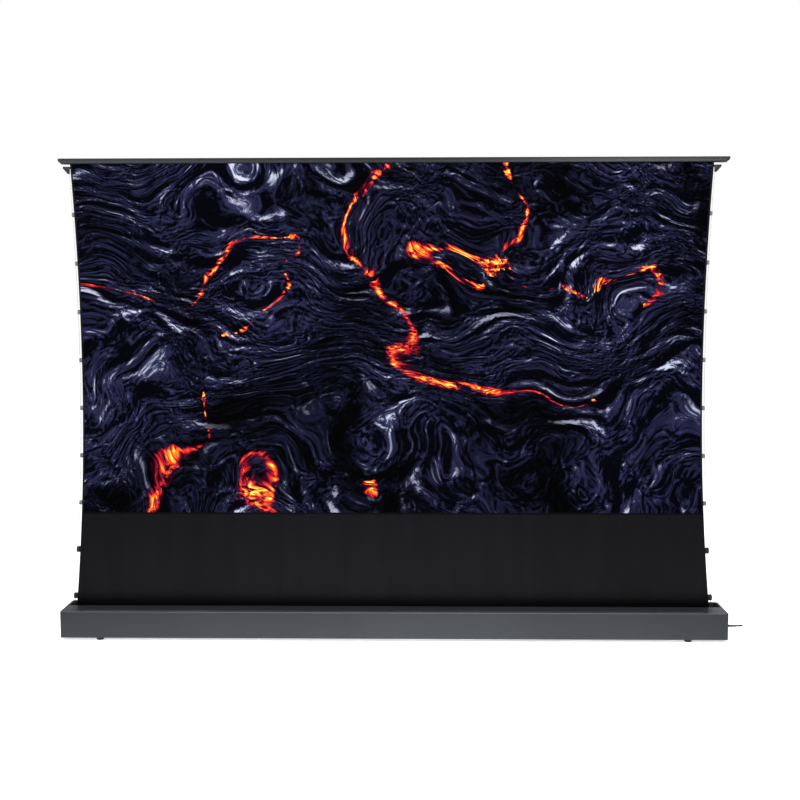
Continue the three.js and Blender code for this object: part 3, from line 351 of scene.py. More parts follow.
def block(size, corner, edge, along):
    """Block round the origin: a corner radius along one axis, then a soft edge all round."""
    bm, axis = bmesh.new(), "XYZ".index(along)
    bmesh.ops.create_cube(bm, size=1)
    bmesh.ops.scale(bm, vec=size, verts=bm.verts)
    long = size[axis] / 2
    bevel(bm, [e for e in bm.edges if abs((e.verts[0].co - e.verts[1].co)[axis]) > long], corner, 4)
    soften(bm, edge, least=50)
    return bm


def plane(columns, rows, size):
    """Flat rectangle round the origin."""
    bm = bmesh.new()
    bmesh.ops.create_grid(bm, x_segments=columns, y_segments=rows, size=0.5)
    bmesh.ops.scale(bm, vec=(*size, 1), verts=bm.verts)
    return bm


def spun(points, axis, steps, closed=False):
    """Turns an outline about an axis through the origin."""
    bm = bmesh.new()
    verts = [bm.verts.new(point) for point in points]
    ends = verts[1:] + verts[:1] if closed else verts[1:]
    edges = [bm.edges.new(pair) for pair in zip(verts, ends)]
    bmesh.ops.spin(
        bm, geom=verts + edges, cent=(0, 0, 0), axis=axis, angle=FULL_TURN, steps=steps,
        use_merge=True,
    )
    bmesh.ops.remove_doubles(bm, verts=bm.verts, dist=WELDED)
    return bm


def turned(outline, steps=24, unit=MM):
    """Outline of (radius, height) points turned about the Z axis."""
    return spun([(radius * unit, 0, height * unit) for radius, height in outline], (0, 0, 1), steps)


def draw_on(bm, extruded, way):
    """Moves the new vertices of an extrusion."""
    moved = [item for item in extruded["geom"] if isinstance(item, bmesh.types.BMVert)]
    bmesh.ops.translate(bm, verts=moved, vec=way)


def drawn_back(outline, outer, side, front, depth):
    """Outline of points, inwards from an outer end and up, drawn back along Y."""
    bm = bmesh.new()
    face = bm.faces.new([bm.verts.new((outer - side * x, front, z)) for x, z in outline])
    draw_on(bm, bmesh.ops.extrude_face_region(bm, geom=[face]), (0, depth, 0))
    return bm


def add_map(bm, name, uv_of):
    """Adds a UV map that a function gives from each vertex's place."""
    layer = bm.loops.layers.uv.new(name)
    for face in bm.faces:
        for loop in face.loops:
            loop[layer].uv = uv_of(loop.vert.co)


def put(target, part, matrix=Matrix()):
    """Adds a small bmesh to a larger one at its place."""
    bmesh.ops.recalc_face_normals(part, faces=part.faces)
    bmesh.ops.transform(part, matrix=matrix, verts=part.verts)
    mesh = mesh_of(part, "part")
    target.from_mesh(mesh)
    bpy.data.meshes.remove(mesh)


def at(x, y, z):
    """Matrix that moves a part to a place in millimetres."""
    return Matrix.Translation((x * MM, y * MM, z * MM))


def box_and_end(name, side):
    """Low and high corner of a piece, and the X of its end on one side."""
    low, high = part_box(name)
    return low, high, (high if side > 0 else low).x


# Finishes


def edge_mask(add, radius):
    """How near a place is to a sharp edge, from 0 to 1."""
    rounded = add("Bevel", radius, samples=4)
    plain = add("NewGeometry", output="Normal")
    alike = add("VectorMath", rounded, plain, operation="DOT_PRODUCT")
    return add("MapRange", alike, 0.985, 0.8)


def anodised_aluminium(name, colour, heights, tones, roughness=0.46, edge=0.8, rub_and_highlight=1.9):
    """Extruded aluminium, bead blasted and anodised: satin, with faint die lines and lightened
    edges.

    The tones paint light and shade on it by height, from foot to top, as painted shade and painted
    highlights.
    Die lines and blasted grain are drawn coarser than the real ones, which are too fine to show.
    """
    material, add, place = new_material(name, Metallic=0.5, Specular_Tint=grey(0.45))
    along = add("Mapping", place, Scale=(0.02, 1, 1))
    lines = add("TexNoise", along, per_metre(2.5), 3)
    grain = add("TexNoise", place, per_metre(0.9), 2)
    cloud = add("TexNoise", place, per_metre(260), 3)
    height = add("SeparateXYZ", place, output="Z")
    # Painted shade and painted highlights by height, as the tones give them
    risen = add("MapRange", height, *heights)
    satin = add("ValToRGB", cloud, stops=shades(colour, (0.3, 0.92), (0.7, 1.07)))
    for pattern, stops in ((lines, ((0.35, 0.93), (0.65, 1))), (risen, tones)):
        tone = add("ValToRGB", pattern, stops=shades(WHITE, *stops))
        satin = add("Mix", 1, satin, tone, data_type="RGBA", blend_type="MULTIPLY")
    # Edges are lightened, as wear from handling and as a painted highlight along them
    rubbed_and_highlit = add("Math", edge_mask(add, edge * MM), 0.45, operation="MULTIPLY")
    worn_and_highlit = add("Mix", rubbed_and_highlit, satin, shade(colour, rub_and_highlight), data_type="RGBA")
    return surface(material, worn_and_highlit, (grain, roughness - 0.04, roughness + 0.05), (grain, 0.12, 0.05))


def mill_aluminium(name, colour, turn):
    """Extruded aluminium as it leaves the die: bright, with clear lines along the bar.

    The lines are drawn coarser than the real hair lines, so that they show.
    """
    material, add, place = new_material(name, Metallic=0.9)
    upright = add("Mapping", place, Rotation=turn)
    along = add("Mapping", upright, Scale=(1, 1, 0.012))
    lines = add("TexNoise", along, per_metre(1.6), 4)
    cloud = add("TexNoise", place, per_metre(90), 4)
    tint = add("ValToRGB", lines, stops=shades(colour, (0.3, 0.86), (0.7, 1.08)))
    return surface(material, tint, (cloud, 0.32, 0.46), (lines, 0.2, 0.06))


def zinc_plated_steel(name, colour):
    """Pressed and turned steel with a zinc plating: grey, slightly clouded."""
    material, add, place = new_material(name, Metallic=0.95)
    cloud = add("TexNoise", place, per_metre(14), 5, 0.6)
    grain = add("TexNoise", place, per_metre(0.8), 2)
    tint = add("ValToRGB", cloud, stops=shades(colour, (0.3, 0.82), (0.7, 1.1)))
    return surface(material, tint, (cloud, 0.28, 0.44), (grain, 0.1, 0.05))


def moulded_abs(name, colour, roughness=0.5):
    """Injection-moulded ABS from a spark-eroded tool: a fine even grit and a dull sheen.

    The grit is drawn at 1.1 mm, because the real one is too fine to show.
    """
    material, add, place = new_material(name, IOR=1.53, Specular_IOR_Level=0.3)
    grit = add("TexNoise", place, per_metre(1.1), 3, 0.65)
    cloud = add("TexNoise", place, per_metre(40), 2)
    tint = add("ValToRGB", cloud, stops=shades(colour, (0.35, 0.9), (0.65, 1.12)))
    return surface(material, tint, (grit, roughness - 0.06, roughness + 0.08), (grit, 0.25, 0.08))


def soft_pvc(name, colour):
    """Extruded PVC jacket: smooth and slightly waxy, with faint draw marks."""
    material, add, place = new_material(name, IOR=1.53)
    cloud = add("TexNoise", place, per_metre(7), 3)
    tint = add("ValToRGB", cloud, stops=shades(colour, (0.3, 0.85), (0.7, 1.25)))
    return surface(material, tint, (cloud, 0.36, 0.48))


def moulded_rubber(name, colour):
    """Moulded rubber: deep black and dull, with dust in its grain."""
    material, add, place = new_material(name, Roughness=0.82, IOR=1.52)
    grain = add("TexNoise", place, per_metre(1.4), 4, 0.7)
    tint = add("ValToRGB", grain, stops=shades(colour, (0.35, 0.8), (0.7, 1.6)))
    return surface(material, tint, relief=(grain, 0.3, 0.1))


def weave_height(add, flat, spacing):
    """Height of a plain weave: threads over and under on the cloth's flat map.

    Real threads lie about 0.4 mm apart, too fine to show, so the spacing is a coarser one.
    """
    waves = []
    for axis in ("X", "Y"):
        along = add("SeparateXYZ", flat, output=axis)
        phase = add("Math", along, math.pi / spacing, operation="MULTIPLY")
        waves.append(add("Math", phase, operation="SINE"))
    return add("Math", *waves, operation="MULTIPLY")


def woven_cloth(name, colour, spacing, slot=None):
    """Woven polyester dyed black: flat and dull, with soft vertical shading from the tension.

    A slot is the height at which the cloth rises out of the case. Painted shade darkens it towards
    the slot; it is palest a little above it, and painted shade darkens it again under the hem.
    """
    material, add, flat = new_material(name, True, Roughness=0.88, Specular_IOR_Level=0.03)
    drawn = add("Mapping", flat, Scale=(1, 0.12, 1))
    cloud = add("TexNoise", drawn, per_metre(60), 4, 0.6)
    tint = add("ValToRGB", cloud, stops=shades(colour, (0.3, 0.86), (0.7, 1.14)))
    if slot is not None:
        # Painted shade: darker down towards the slot and up towards the hem, palest a little above
        # the slot
        height = add("SeparateXYZ", flat, output="Y")
        palest, smooth = slot + 62 * MM, "SMOOTHSTEP"
        painted_shade_under_hem = add("MapRange", height, palest, PICTURE_FOOT, 0, 0.34)
        clear = add("MapRange", height, slot, palest, 0.06, interpolation_type=smooth)
        tint = add("Mix", painted_shade_under_hem, tint, grey(0), data_type="RGBA")
        tint = add("Mix", clear, grey(0), tint, data_type="RGBA")
    return surface(material, tint, relief=(weave_height(add, flat, spacing), 0.25, 0.1))


def braided_polyester(name, colour, painted_shade_below):
    """Braided polyester cord: pale, with strands that cross in short slanting steps.

    The steps are drawn about four times as long as the real ones, so that they show. Below the
    given height the cord is painted near black, as painted shade where it runs down into the case.
    """
    material, add, place = new_material(name, Roughness=0.75)
    steps = {"bands_direction": "DIAGONAL", "output": "Fac"}
    strands = add("TexWave", place, per_metre(14), 1.5, 1, **steps)
    pale = add("ValToRGB", strands, stops=shades(colour, (0.2, 0.72), (0.7, 1)))
    # Painted shade: near black below the given height, where the cord runs into the case
    height = add("SeparateXYZ", place, output="Z")
    above_painted_shade = add("Math", height, painted_shade_below, operation="GREATER_THAN")
    tint = add("Mix", above_painted_shade, grey(0.006), pale, data_type="RGBA")
    return surface(material, tint, relief=(strands, 0.4, 0.15))


def nickel_plated_brass(name, colour):
    """Turned brass with a nickel plating: warm silver, with rings from the lathe.

    The rings are drawn coarser than the real ones, so that they show.
    """
    material, add, place = new_material(name, Metallic=1, Roughness=0.24)
    rings = add("TexWave", place, per_metre(3), 0.6, output="Fac")
    tint = add("ValToRGB", rings, stops=shades(colour, (0.2, 0.88), (0.8, 1)))
    return surface(material, tint, relief=(rings, 0.1, 0.03))


def nylon_webbing(name, colour):
    """Woven nylon strap with a napped face: dull black, ribbed across."""
    material, add, place = new_material(name, Roughness=0.9, Specular_IOR_Level=0.2)
    ribs = add("TexWave", place, per_metre(6), 0.8, output="Fac")
    nap = add("TexNoise", place, per_metre(0.8), 3, 0.7)
    height = add("Math", ribs, nap, operation="ADD")
    tint = add("ValToRGB", nap, stops=shades(colour, (0.3, 0.7), (0.7, 1.5)))
    return surface(material, tint, relief=(height, 0.4, 0.15))


def folds(add, place):
    """Height of drawn-out folds: broad ropes with wrinkles on them."""
    ridged = {"noise_type": "RIDGED_MULTIFRACTAL", "normalize": True}
    ropes = add("TexNoise", place, per_metre(120), 4, 0.6, Distortion=0.6, **ridged)
    wrinkles = add("TexNoise", place, per_metre(30), 5, 0.68, Distortion=0.9)
    fine = add("Math", wrinkles, 0.42, operation="MULTIPLY")
    return add("Math", ropes, fine, operation="ADD")


def ribbon_heat(add, flat, drift, drawn):
    """Heat of the ribbons: level lines of a slow field, wider where they are hot, with flecks."""
    beside = add("TexNoise", drift, per_metre(1150), 1.5, 0.45)
    for operation, second in (("MULTIPLY", 4.6), ("FRACT", 0), ("SUBTRACT", 0.5), ("ABSOLUTE", 0)):
        beside = add("Math", beside, second, operation=operation)
    torn = add("TexNoise", drawn, per_metre(95), 6, 0.62)
    ragged = add("MapRange", torn, 0, 1, -0.11, 0.11)
    ribbon = add("Math", beside, ragged, operation="ADD")
    hot = add("TexNoise", flat, per_metre(700), 2)
    width = add("MapRange", hot, 0.38, 0.7, 0, 0.12)
    glowing = add("MapRange", ribbon, 0, width, 1, 0)
    flecks = add("TexNoise", drawn, per_metre(26), 4, 0.62, Distortion=1.2)
    broken = add("MapRange", flecks, 0.4, 0.68, 0.06, 1.3)
    return add("Math", glowing, broken, operation="MULTIPLY", use_clamp=True)


# Places along the heat and the sRGB colours of the ribbons there
GLOW = (
    (0, "#000000"), (0.18, "#420a1c"), (0.38, "#b4182e"), (0.6, "#f5521c"), (0.8, "#ffa428"),
    (1, "#ffe468"),
)


def shown_picture(name, colours, border_share, spacing, middle):
    """Matt coated cloth, black at its sides and back, with a projected picture painted on its
    front: dark marbling with a few ember ribbons.
    """
    material, add, flat = new_material(name, True, Roughness=0.9, Specular_IOR_Level=0.02)

    # The whole pattern is drawn out of line by slow swirls
    swirl = add("TexNoise", flat, per_metre(820), 2.5, output="Color")
    pushed = add("VectorMath", swirl, (0.5, 0.5, 0.5), operation="SUBTRACT")
    wide = add("VectorMath", pushed, 1.5, operation="SCALE")
    drift = add("VectorMath", flat, wide, operation="ADD")

    # Folds are lit from the upper left: their height less that of a place beside them
    aside = add("VectorMath", drift, (0.006, -0.009, 0), operation="ADD")
    drawn, beside = (
        add("Mapping", place, Rotation=(0, 0, 0.55), Scale=(0.34, 1, 1))
        for place in (drift, aside)
    )
    slope = add("Math", folds(add, drawn), folds(add, beside), operation="SUBTRACT")
    lit = add("MapRange", slope, -0.04, 0.14)
    tones = ((0.12, colours.ground, 1), (0.36, colours.vein, 0.55), (0.62, colours.vein, 1))
    stops = [(place, shade(colour, share)) for place, colour, share in tones]
    marbled = add("ValToRGB", lit, stops=[*stops, (1, shade(colours.crest))])
    depth = add("TexNoise", drift, per_metre(460), 3)
    dimmed = add("ValToRGB", depth, stops=shades(WHITE, (0.36, 0.06), (0.58, 1)))
    shaded = add("Mix", 1, marbled, dimmed, data_type="RGBA", blend_type="MULTIPLY")
    heat = ribbon_heat(add, flat, drift, drawn)
    glow = add("ValToRGB", heat, stops=[(place, shade(linear(value))) for place, value in GLOW])
    seen = add("MapRange", heat, 0, 0.3)
    picture = add("Mix", seen, shaded, glow, data_type="RGBA")

    # The border follows the cloth's curved sides
    inside = add("SeparateXYZ", add("UVMap", uv_map="share"), output="X")
    limit = 0.5 - border_share
    for operation, second in (("SUBTRACT", 0.5), ("ABSOLUTE", 0), ("LESS_THAN", limit)):
        inside = add("Math", inside, second, operation=operation)
    front = add("Mix", inside, shade(colours.black_cloth), picture, data_type="RGBA")

    # The back has a rolled-on black coating
    rolled = add("Mapping", flat, Scale=(1, 0.15, 1))
    patches = add("TexNoise", rolled, per_metre(110), 4, 0.6)
    back = add("ValToRGB", patches, stops=shades(colours.coated_back, (0.3, 0.72), (0.7, 1.25)))
    behind = add("SeparateXYZ", add("TexCoord", output="Object"), output="Y")
    faced = add("Math", behind, middle, operation="LESS_THAN")
    base = add("Mix", faced, back, front, data_type="RGBA")
    return surface(material, base, relief=(weave_height(add, flat, spacing), 0.15, 0.08))


# Shapes shared by the cloth pieces

CLOTH_COLUMNS = 48


def half_width(sizes, height):
    """Half the cloth's width at a height: two parabolas that meet at the waist."""
    height = max(height, ROLLER_HEIGHT)
    above = height > sizes.waist_height
    reach = (CLOTH_TOP if above else CASE_HIGH.z) - sizes.waist_height
    flare = sizes.waist_draw - (sizes.top_draw if above else 0)
    waist = sizes.foot_half - sizes.waist_draw
    return waist + flare * ((height - sizes.waist_height) / reach) ** 2


def cord_offset(sizes, height):
    """Distance from the cloth's middle to a tension cord."""
    share = (CLOTH_TOP - max(height, ROLLER_HEIGHT)) / (CLOTH_TOP - ROLLER_HEIGHT)
    gap = sizes.cord_top_gap + (sizes.cord_foot_gap - sizes.cord_top_gap) * share
    return half_width(sizes, height) + gap


def cord_place(sizes, side, height):
    return Vector((sizes.offset + side * cord_offset(sizes, height), sizes.middle, height))


def lowers(piece, slot, low=ROLLER_HEIGHT, high=CLOTH_TOP - LID_TRAVEL):
    """Hangs a piece from the lid and gives it a mesh of its own."""
    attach(piece, "top_bar")
    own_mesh(piece)


def cloth_between(sizes, name, low, high, material, rows):
    """Flat cloth with curved sides, mapped by its real size and by its share across and up."""
    bm = plane(CLOTH_COLUMNS, rows, (1, 1))

    def flat(place):
        height = low + (high - low) * (place.y + 0.5)
        return 2 * place.x * half_width(sizes, height), height

    add_map(bm, "flat", flat)
    add_map(bm, "share", lambda place: (place.x + 0.5, place.y + 0.5))
    for vertex in bm.verts:
        across, height = flat(vertex.co)
        vertex.co = (sizes.offset + across, sizes.middle, height)
    return walled(linked(name, mesh_of(bm, name), material), sizes.thickness)


def curve_piece(name, points, radius, material, resolution):
    """Round bar along a smooth line through the points."""
    curve = bpy.data.curves.new(name, "CURVE")
    curve.dimensions = "3D"
    spline = curve.splines.new("BEZIER")
    spline.bezier_points.add(len(points) - 1)
    for bezier, point in zip(spline.bezier_points, points):
        bezier.co = point
        bezier.handle_left_type = bezier.handle_right_type = "AUTO"
    spline.resolution_u = 4
    curve.bevel_depth = radius
    curve.bevel_resolution = resolution
    curve.use_fill_caps = True
    return linked(name, curve, material)


def as_mesh(piece):
    """The same piece with its curve made a mesh."""
    drawn = piece.evaluated_get(bpy.context.evaluated_depsgraph_get())
    mesh = bpy.data.meshes.new_from_object(drawn)
    name, curve = piece.name, piece.data
    bpy.data.objects.remove(piece)
    bpy.data.curves.remove(curve)
    return linked(name, mesh)


# Power lead: points in millimetres that repeat the frame's route

LEAD_ROUTE = (
    (1249.3, 20, 34.3), (1256.3, 20, 34.3), (1265, 21.6, 33.9), (1272, 26.6, 33), (1276, 34, 31.6),
    (1276.5, 44, 29.4), (1273.5, 57, 25.8), (1268, 70, 21.2), (1260, 84, 15.8), (1249.5, 97, 10.6),
    (1236, 108.5, 6.6), (1219, 117.6, 4.5), (1199, 123.2, 4.1), (1176, 125.4, 4.1),
    (1150, 125.7, 4.1), (1126, 125.3, 4.1), (1104, 125.3, 4.1), (1082, 125.3, 4.1),
)
PLUG_ROUTE = (
    (1067, 190.7, 20.5), (1078, 190.3, 19.6), (1090, 189.1, 17.4), (1102, 187.1, 14.4),
    (1114, 184.5, 11.6), (1125, 182.1, 9.7), (1136, 180.5, 9.1), (1144, 180.1, 9), (1150, 180.1, 9),
)
POINTS_PER_TURN = 24


def coil_point(sizes, turns):
    """Point of the coil after some turns: spiral in, climb a layer, spiral out, and so on."""
    layer = min(int(turns / sizes.turns_per_layer), sizes.layers - 1)
    into = turns - layer * sizes.turns_per_layer
    wound = sizes.turns_per_layer - into if layer % 2 == 0 else into
    radius = sizes.inner_radius + sizes.pitch * wound
    reversal = min(max(round(turns / sizes.turns_per_layer), 1), sizes.layers - 1)
    climb = min(max((turns - reversal * sizes.turns_per_layer) * 2 + 0.5, 0), 1)
    angle = -QUARTER_TURN - FULL_TURN * turns
    return Vector((
        sizes.coil_x + radius * math.cos(angle),
        sizes.coil_y + radius * math.sin(angle),
        sizes.lift + sizes.pitch * (reversal - 1 + climb),
    ))


def mains_plug(colours):
    """Moulded two-pin plug with a ribbed sleeve, finger grips and half-sleeved pins.

    It is built up the Z axis in millimetres and then laid along X.
    """
    low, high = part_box("mains_plug")
    laid = Matrix.Translation((low.x, (low.y + high.y) / 2, (low.z + high.z) / 2))
    laid = laid @ Matrix.Rotation(QUARTER_TURN, 4, "Y")
    width, thickness, length, middle, foot = 26, 18, 38, 42, 61
    corner, edge, pin_offset, sunk = 5 * MM, 1.4 * MM, 9.5, 0.4
    grip_size, grips, first_grip, grip_step = (9, 1.4, 1.5), 5, 29, 3.4
    grip_corner, grip_edge = 0.4 * MM, 0.3 * MM
    bm, pins = bmesh.new(), bmesh.new()
    body = block([v * MM for v in (thickness, width, length)], corner, edge, "Z")
    put(bm, body, laid @ at(0, 0, middle))
    for side, _ in SIDES:
        for step in range(grips):
            grip = block([v * MM for v in grip_size], grip_corner, grip_edge, "Z")
            put(bm, grip, laid @ at(0, side * width / 2, first_grip + grip_step * step))
        collar = [(0, 0), (2.55, 0), (2.55, 10), (2.2, 10.4), (0, 10.4)]
        put(bm, turned(collar), laid @ at(0, side * pin_offset, foot - sunk))
        pin = [(0, 0), (2.4, 0), (2.4, 18.5), (2.1, 20.5), (1.4, 21.8), (0, 22)]
        put(pins, turned(pin), laid @ at(0, side * pin_offset, foot))
    sleeve, ribs, tall = [(0, 0), (3.5, 0)], 6, 24
    for i in range(ribs):
        for share, dip in ((0.15, 0), (0.4, 0.7), (0.75, 0.7), (1.0, 0)):
            up = (i + share) / ribs
            sleeve.append((3.5 + 2 * up - dip, tall * up))
    put(bm, turned([*sleeve, (0, tall)]), laid)
    pvc = soft_pvc("Moulded PVC, plug", colours.jacket)
    brass = nickel_plated_brass("Nickel-plated brass", colours.nickel)
    return (
        piece_of(bm, "plug_body", pvc, "case", "black_plastic", "mains_plug"),
        piece_of(pins, "plug_pins", brass, "case", "steel"),
    )


def coil_strap(colours):
    """Hook-and-loop strap round the coil's turns, with its end pressed down on top."""
    low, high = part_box("cord_tie")
    size, middle = high - low, (low + high) / 2
    wall, corner, shift, pressed = 1 * MM, 1.6 * MM, 2 * MM, 0.62
    band = plane(1, 1, (size.x - wall, size.z - wall))
    bevel(band, band.verts[:], corner, segments=5, affect="VERTICES")
    bmesh.ops.delete(band, geom=band.faces[:], context="FACES_ONLY")
    draw_on(band, bmesh.ops.extrude_edge_only(band, edges=band.edges[:]), (0, 0, size.y))
    bm = bmesh.new()
    stand = Matrix.Translation(middle) @ Matrix.Rotation(QUARTER_TURN, 4, "X")
    put(bm, band, stand @ Matrix.Translation((0, 0, -size.y / 2)))
    end = plane(4, 1, (size.x * pressed, size.y))
    put(bm, end, Matrix.Translation((middle.x + shift, middle.y, high.z + wall / 2)))
    nylon = nylon_webbing("Woven nylon strap", colours.plastic)
    piece = piece_of(bm, "coil_strap", nylon, "case", "black_cloth", "cord_tie")
    return walled(piece, wall)


class SCREEN_OT_power_lead(bpy.types.Operator):
    """Makes the power lead, from the strain relief through its coil to the plug."""

    bl_idname = "projection_screen.power_lead"
    bl_label = "Power lead"

    def execute(self, context):
        sizes, colours = context.scene.lead_sizes, context.scene.finish_colours
        turns = sizes.turns_per_layer * sizes.layers
        steps = round(turns * POINTS_PER_TURN)
        coil = [coil_point(sizes, turns * i / steps) for i in range(steps + 1)]
        start, end = ([Vector(p) * MM for p in route] for route in (LEAD_ROUTE, PLUG_ROUTE))
        jacket = soft_pvc("Extruded PVC, black", colours.jacket)
        on_lead = [*mains_plug(colours), coil_strap(colours), "cord_gland"]
        points, radius = start + coil + end, sizes.diameter / 2
        lead = curve_piece("power_lead", points, radius, jacket, resolution=3)
        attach(lead, "case")
        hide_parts("power_cord", "power_cord_coil", "plug_lead")
        return {"FINISHED"}


class SCREEN_OT_picture_cloth(bpy.types.Operator):
    """Makes the upper cloth with its picture and the black drop below it."""

    bl_idname = "projection_screen.picture_cloth"
    bl_label = "Picture cloth and drop"

    def execute(self, context):
        sizes, colours = context.scene.cloth_sizes, context.scene.finish_colours
        dyed, weave = colours.black_cloth, sizes.weave
        share = sizes.border / (2 * (sizes.foot_half - sizes.waist_draw))
        shown = shown_picture("Matt coated cloth, painted projected picture", colours, share, weave, sizes.middle)
        black = woven_cloth("Woven polyester, black", dyed, weave, CASE_HIGH.z)
        tape = woven_cloth("Woven polyester, hem tape", shade(dyed, 0.3), weave)
        hem_foot = PICTURE_FOOT - sizes.hem
        upper = cloth_between(sizes, "picture_cloth", PICTURE_FOOT, CLOTH_TOP, shown, rows=72)
        lower = cloth_between(sizes, "drop_cloth", HIDDEN_FOOT, PICTURE_FOOT, black, rows=36)
        hem = cloth_between(sizes, "drop_hem", hem_foot, PICTURE_FOOT, tape, rows=2)
        hem.modifiers["thickness"].thickness = 2 * sizes.thickness
        lowers(upper, "screen_cloth")
        lowers(lower, "black_cloth")
        lowers(hem, "black_cloth")
        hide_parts("screen_fabric")
        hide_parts("black_drop")
        return {"FINISHED"}


# Millimetres: how far the plate reaches over the cloth, its height, the sleeve's height, the
# plate's thickness, the sleeve's radius and the sleeve's rounded edge
GREY_TAB = (11, 17, 14, 1.6, 2.9, 0.5)
BLACK_TAB = (14, 22, 21, 2.4, 5.4, 3)


def side_tab(bm, sizes, side, height, shape):
    """One tab, turned as the cloth's side runs at its height."""
    inset, plate, sleeve, thick, radius, edge = shape
    play, reach, corner, rounded = 0.6 * MM, 10 * MM, 2 * MM, 0.3 * MM
    bore = sizes.cord_diameter / 2 + play
    rise = cord_offset(sizes, height + reach) - cord_offset(sizes, height - reach)
    turn = Matrix.Translation(cord_place(sizes, side, height))
    turn = turn @ Matrix.Rotation(side * math.atan(rise / (2 * reach)), 4, "Y")
    top, hole = sleeve / 2, bore / MM
    lip = [(hole, top - edge), (hole + edge / 2, top), (radius - edge, top), (radius, top - edge)]
    ring = [(r, -z) for r, z in lip] + lip[::-1]
    put(bm, turned([*ring, ring[0]], steps=20), turn)
    width = inset * MM + cord_offset(sizes, height) - half_width(sizes, height) - bore
    behind = (sizes.thickness + thick * MM) / 2
    middle = Matrix.Translation((-side * (bore + width / 2), behind, 0))
    put(bm, block((width, thick * MM, plate * MM), corner, rounded, "Y"), turn @ middle)


class SCREEN_OT_side_tabs(bpy.types.Operator):
    """Makes the tabs down both sides: a plate welded to the cloth and a sleeve round the cord."""

    bl_idname = "projection_screen.side_tabs"
    bl_label = "Side tabs"

    def execute(self, context):
        sizes, colours = context.scene.cloth_sizes, context.scene.finish_colours
        heights = [sizes.first_tab - sizes.tab_spacing * i for i in range(sizes.tab_count)]
        split = sizes.tab_count - sizes.black_tab_count
        grey_tab = moulded_abs("Welded polyester tab, grey", colours.grey_plastic, 0.55)
        black_tab = moulded_abs("Welded polyester tab, black", colours.plastic, 0.6)
        for name, places, shape, finish in (
            ("side_tabs", heights[:split], GREY_TAB, grey_tab),
            ("drop_tabs", heights[split:], BLACK_TAB, black_tab),
        ):
            bm = bmesh.new()
            for side, _ in SIDES:
                for height in places:
                    side_tab(bm, sizes, side, height, shape)
            lowers(piece_of(bm, name, finish), "black_plastic", *GATHERED)
        return {"FINISHED"}


def lid_cap(side, word):
    """Cap with a sloped corner; only its front steps down under the lid."""
    low, high, outer = box_and_end(f"lid_end_cap_{word}", side)
    covered, step, plate, slope_width, slope_top = (v * MM for v in (3.7, 10, 14, 13, 9.5))
    edge, near = 0.8 * MM, 0.01 * MM
    under = LID_LOW + covered
    outline = (
        (0, high.z), (0, high.z - slope_top), (slope_width, low.z), (high.x - low.x, low.z),
        (high.x - low.x, under), (plate, under), (plate, high.z),
    )
    bm = drawn_back(outline, outer, side, low.y, step)
    bmesh.ops.bisect_plane(
        bm, geom=bm.verts[:] + bm.edges[:] + bm.faces[:], plane_co=(0, 0, under),
        plane_no=(0, 0, 1), dist=near,
    )
    rear = [face for face in bm.faces if min(v.co.y for v in face.verts) > low.y + step / 2]
    upper = [face for face in rear if face.calc_center_median().z > under]
    extruded = bmesh.ops.extrude_face_region(bm, geom=upper)
    draw_on(bm, extruded, (0, high.y - low.y - step, 0))
    soften(bm, edge)
    return bm


def cord_holder(side, word):
    """Tapered block that clamps the cord, and its strap behind the batten."""
    low, high, outer = box_and_end(f"cord_bracket_{word}", side)
    wide, narrow, lip, strap, lowered, setback = (v * MM for v in (24, 7, 6, 2.7, 3, 1))
    edge, strap_edge = 1 * MM, 0.4 * MM
    top, foot = high.z - lowered, low.z - lowered
    front = low.y + setback
    outline = ((0, top), (0, top - lip), (wide - narrow, foot), (wide, foot), (wide, top))
    bm = drawn_back(outline, outer, side, front, high.y - front)
    soften(bm, edge)
    start, end = wide - narrow, high.x - low.x
    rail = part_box("top_batten")[0].z
    band = block((end - start, strap, top - rail), edge, strap_edge, "Y")
    middle = (outer - side * (start + end) / 2, high.y - strap / 2, (top + rail) / 2)
    put(bm, band, Matrix.Translation(middle))
    return bm


class SCREEN_OT_lid_ends(bpy.types.Operator):
    """Makes the cap on each end of the lid, and the cord's holder under it."""

    bl_idname = "projection_screen.lid_ends"
    bl_label = "Lid ends"

    def execute(self, context):
        finish = moulded_abs("Moulded ABS, lid ends", context.scene.finish_colours.plastic)
        for name, shape, node in (
            ("lid_caps", lid_cap, "lid_end_cap"), ("cord_holders", cord_holder, "cord_bracket"),
        ):
            bm = bmesh.new()
            for side, word in SIDES:
                put(bm, shape(side, word))
            nodes = [f"{node}_{word}" for _, word in SIDES]
            piece_of(bm, name, finish, "top_bar", "black_plastic", *nodes)
        return {"FINISHED"}


class SCREEN_OT_tension_cords(bpy.types.Operator):
    """Makes the braided cord down each side of the cloth."""

    bl_idname = "projection_screen.tension_cords"
    bl_label = "Tension cords"

    def execute(self, context):
        sizes, colours = context.scene.cloth_sizes, context.scene.finish_colours
        lowest_tab = sizes.first_tab - sizes.tab_spacing * (sizes.tab_count - 1)
        finish = braided_polyester("Braided polyester", colours.braid, lowest_tab)
        in_holder, steps = 6 * MM, 40
        for side, word in SIDES:
            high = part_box(f"tension_cord_{word}")[1].z - in_holder
            heights = [high + (HIDDEN_FOOT - high) * i / steps for i in range(steps + 1)]
            points = [cord_place(sizes, side, height) for height in heights]
            radius = sizes.cord_diameter / 2
            bar = curve_piece(f"braid_{word}", points, radius, finish, resolution=2)
            piece = as_mesh(bar)
            lowers(piece, "braid", *GATHERED)
            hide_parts(f"tension_cord_{word}")
        return {"FINISHED"}


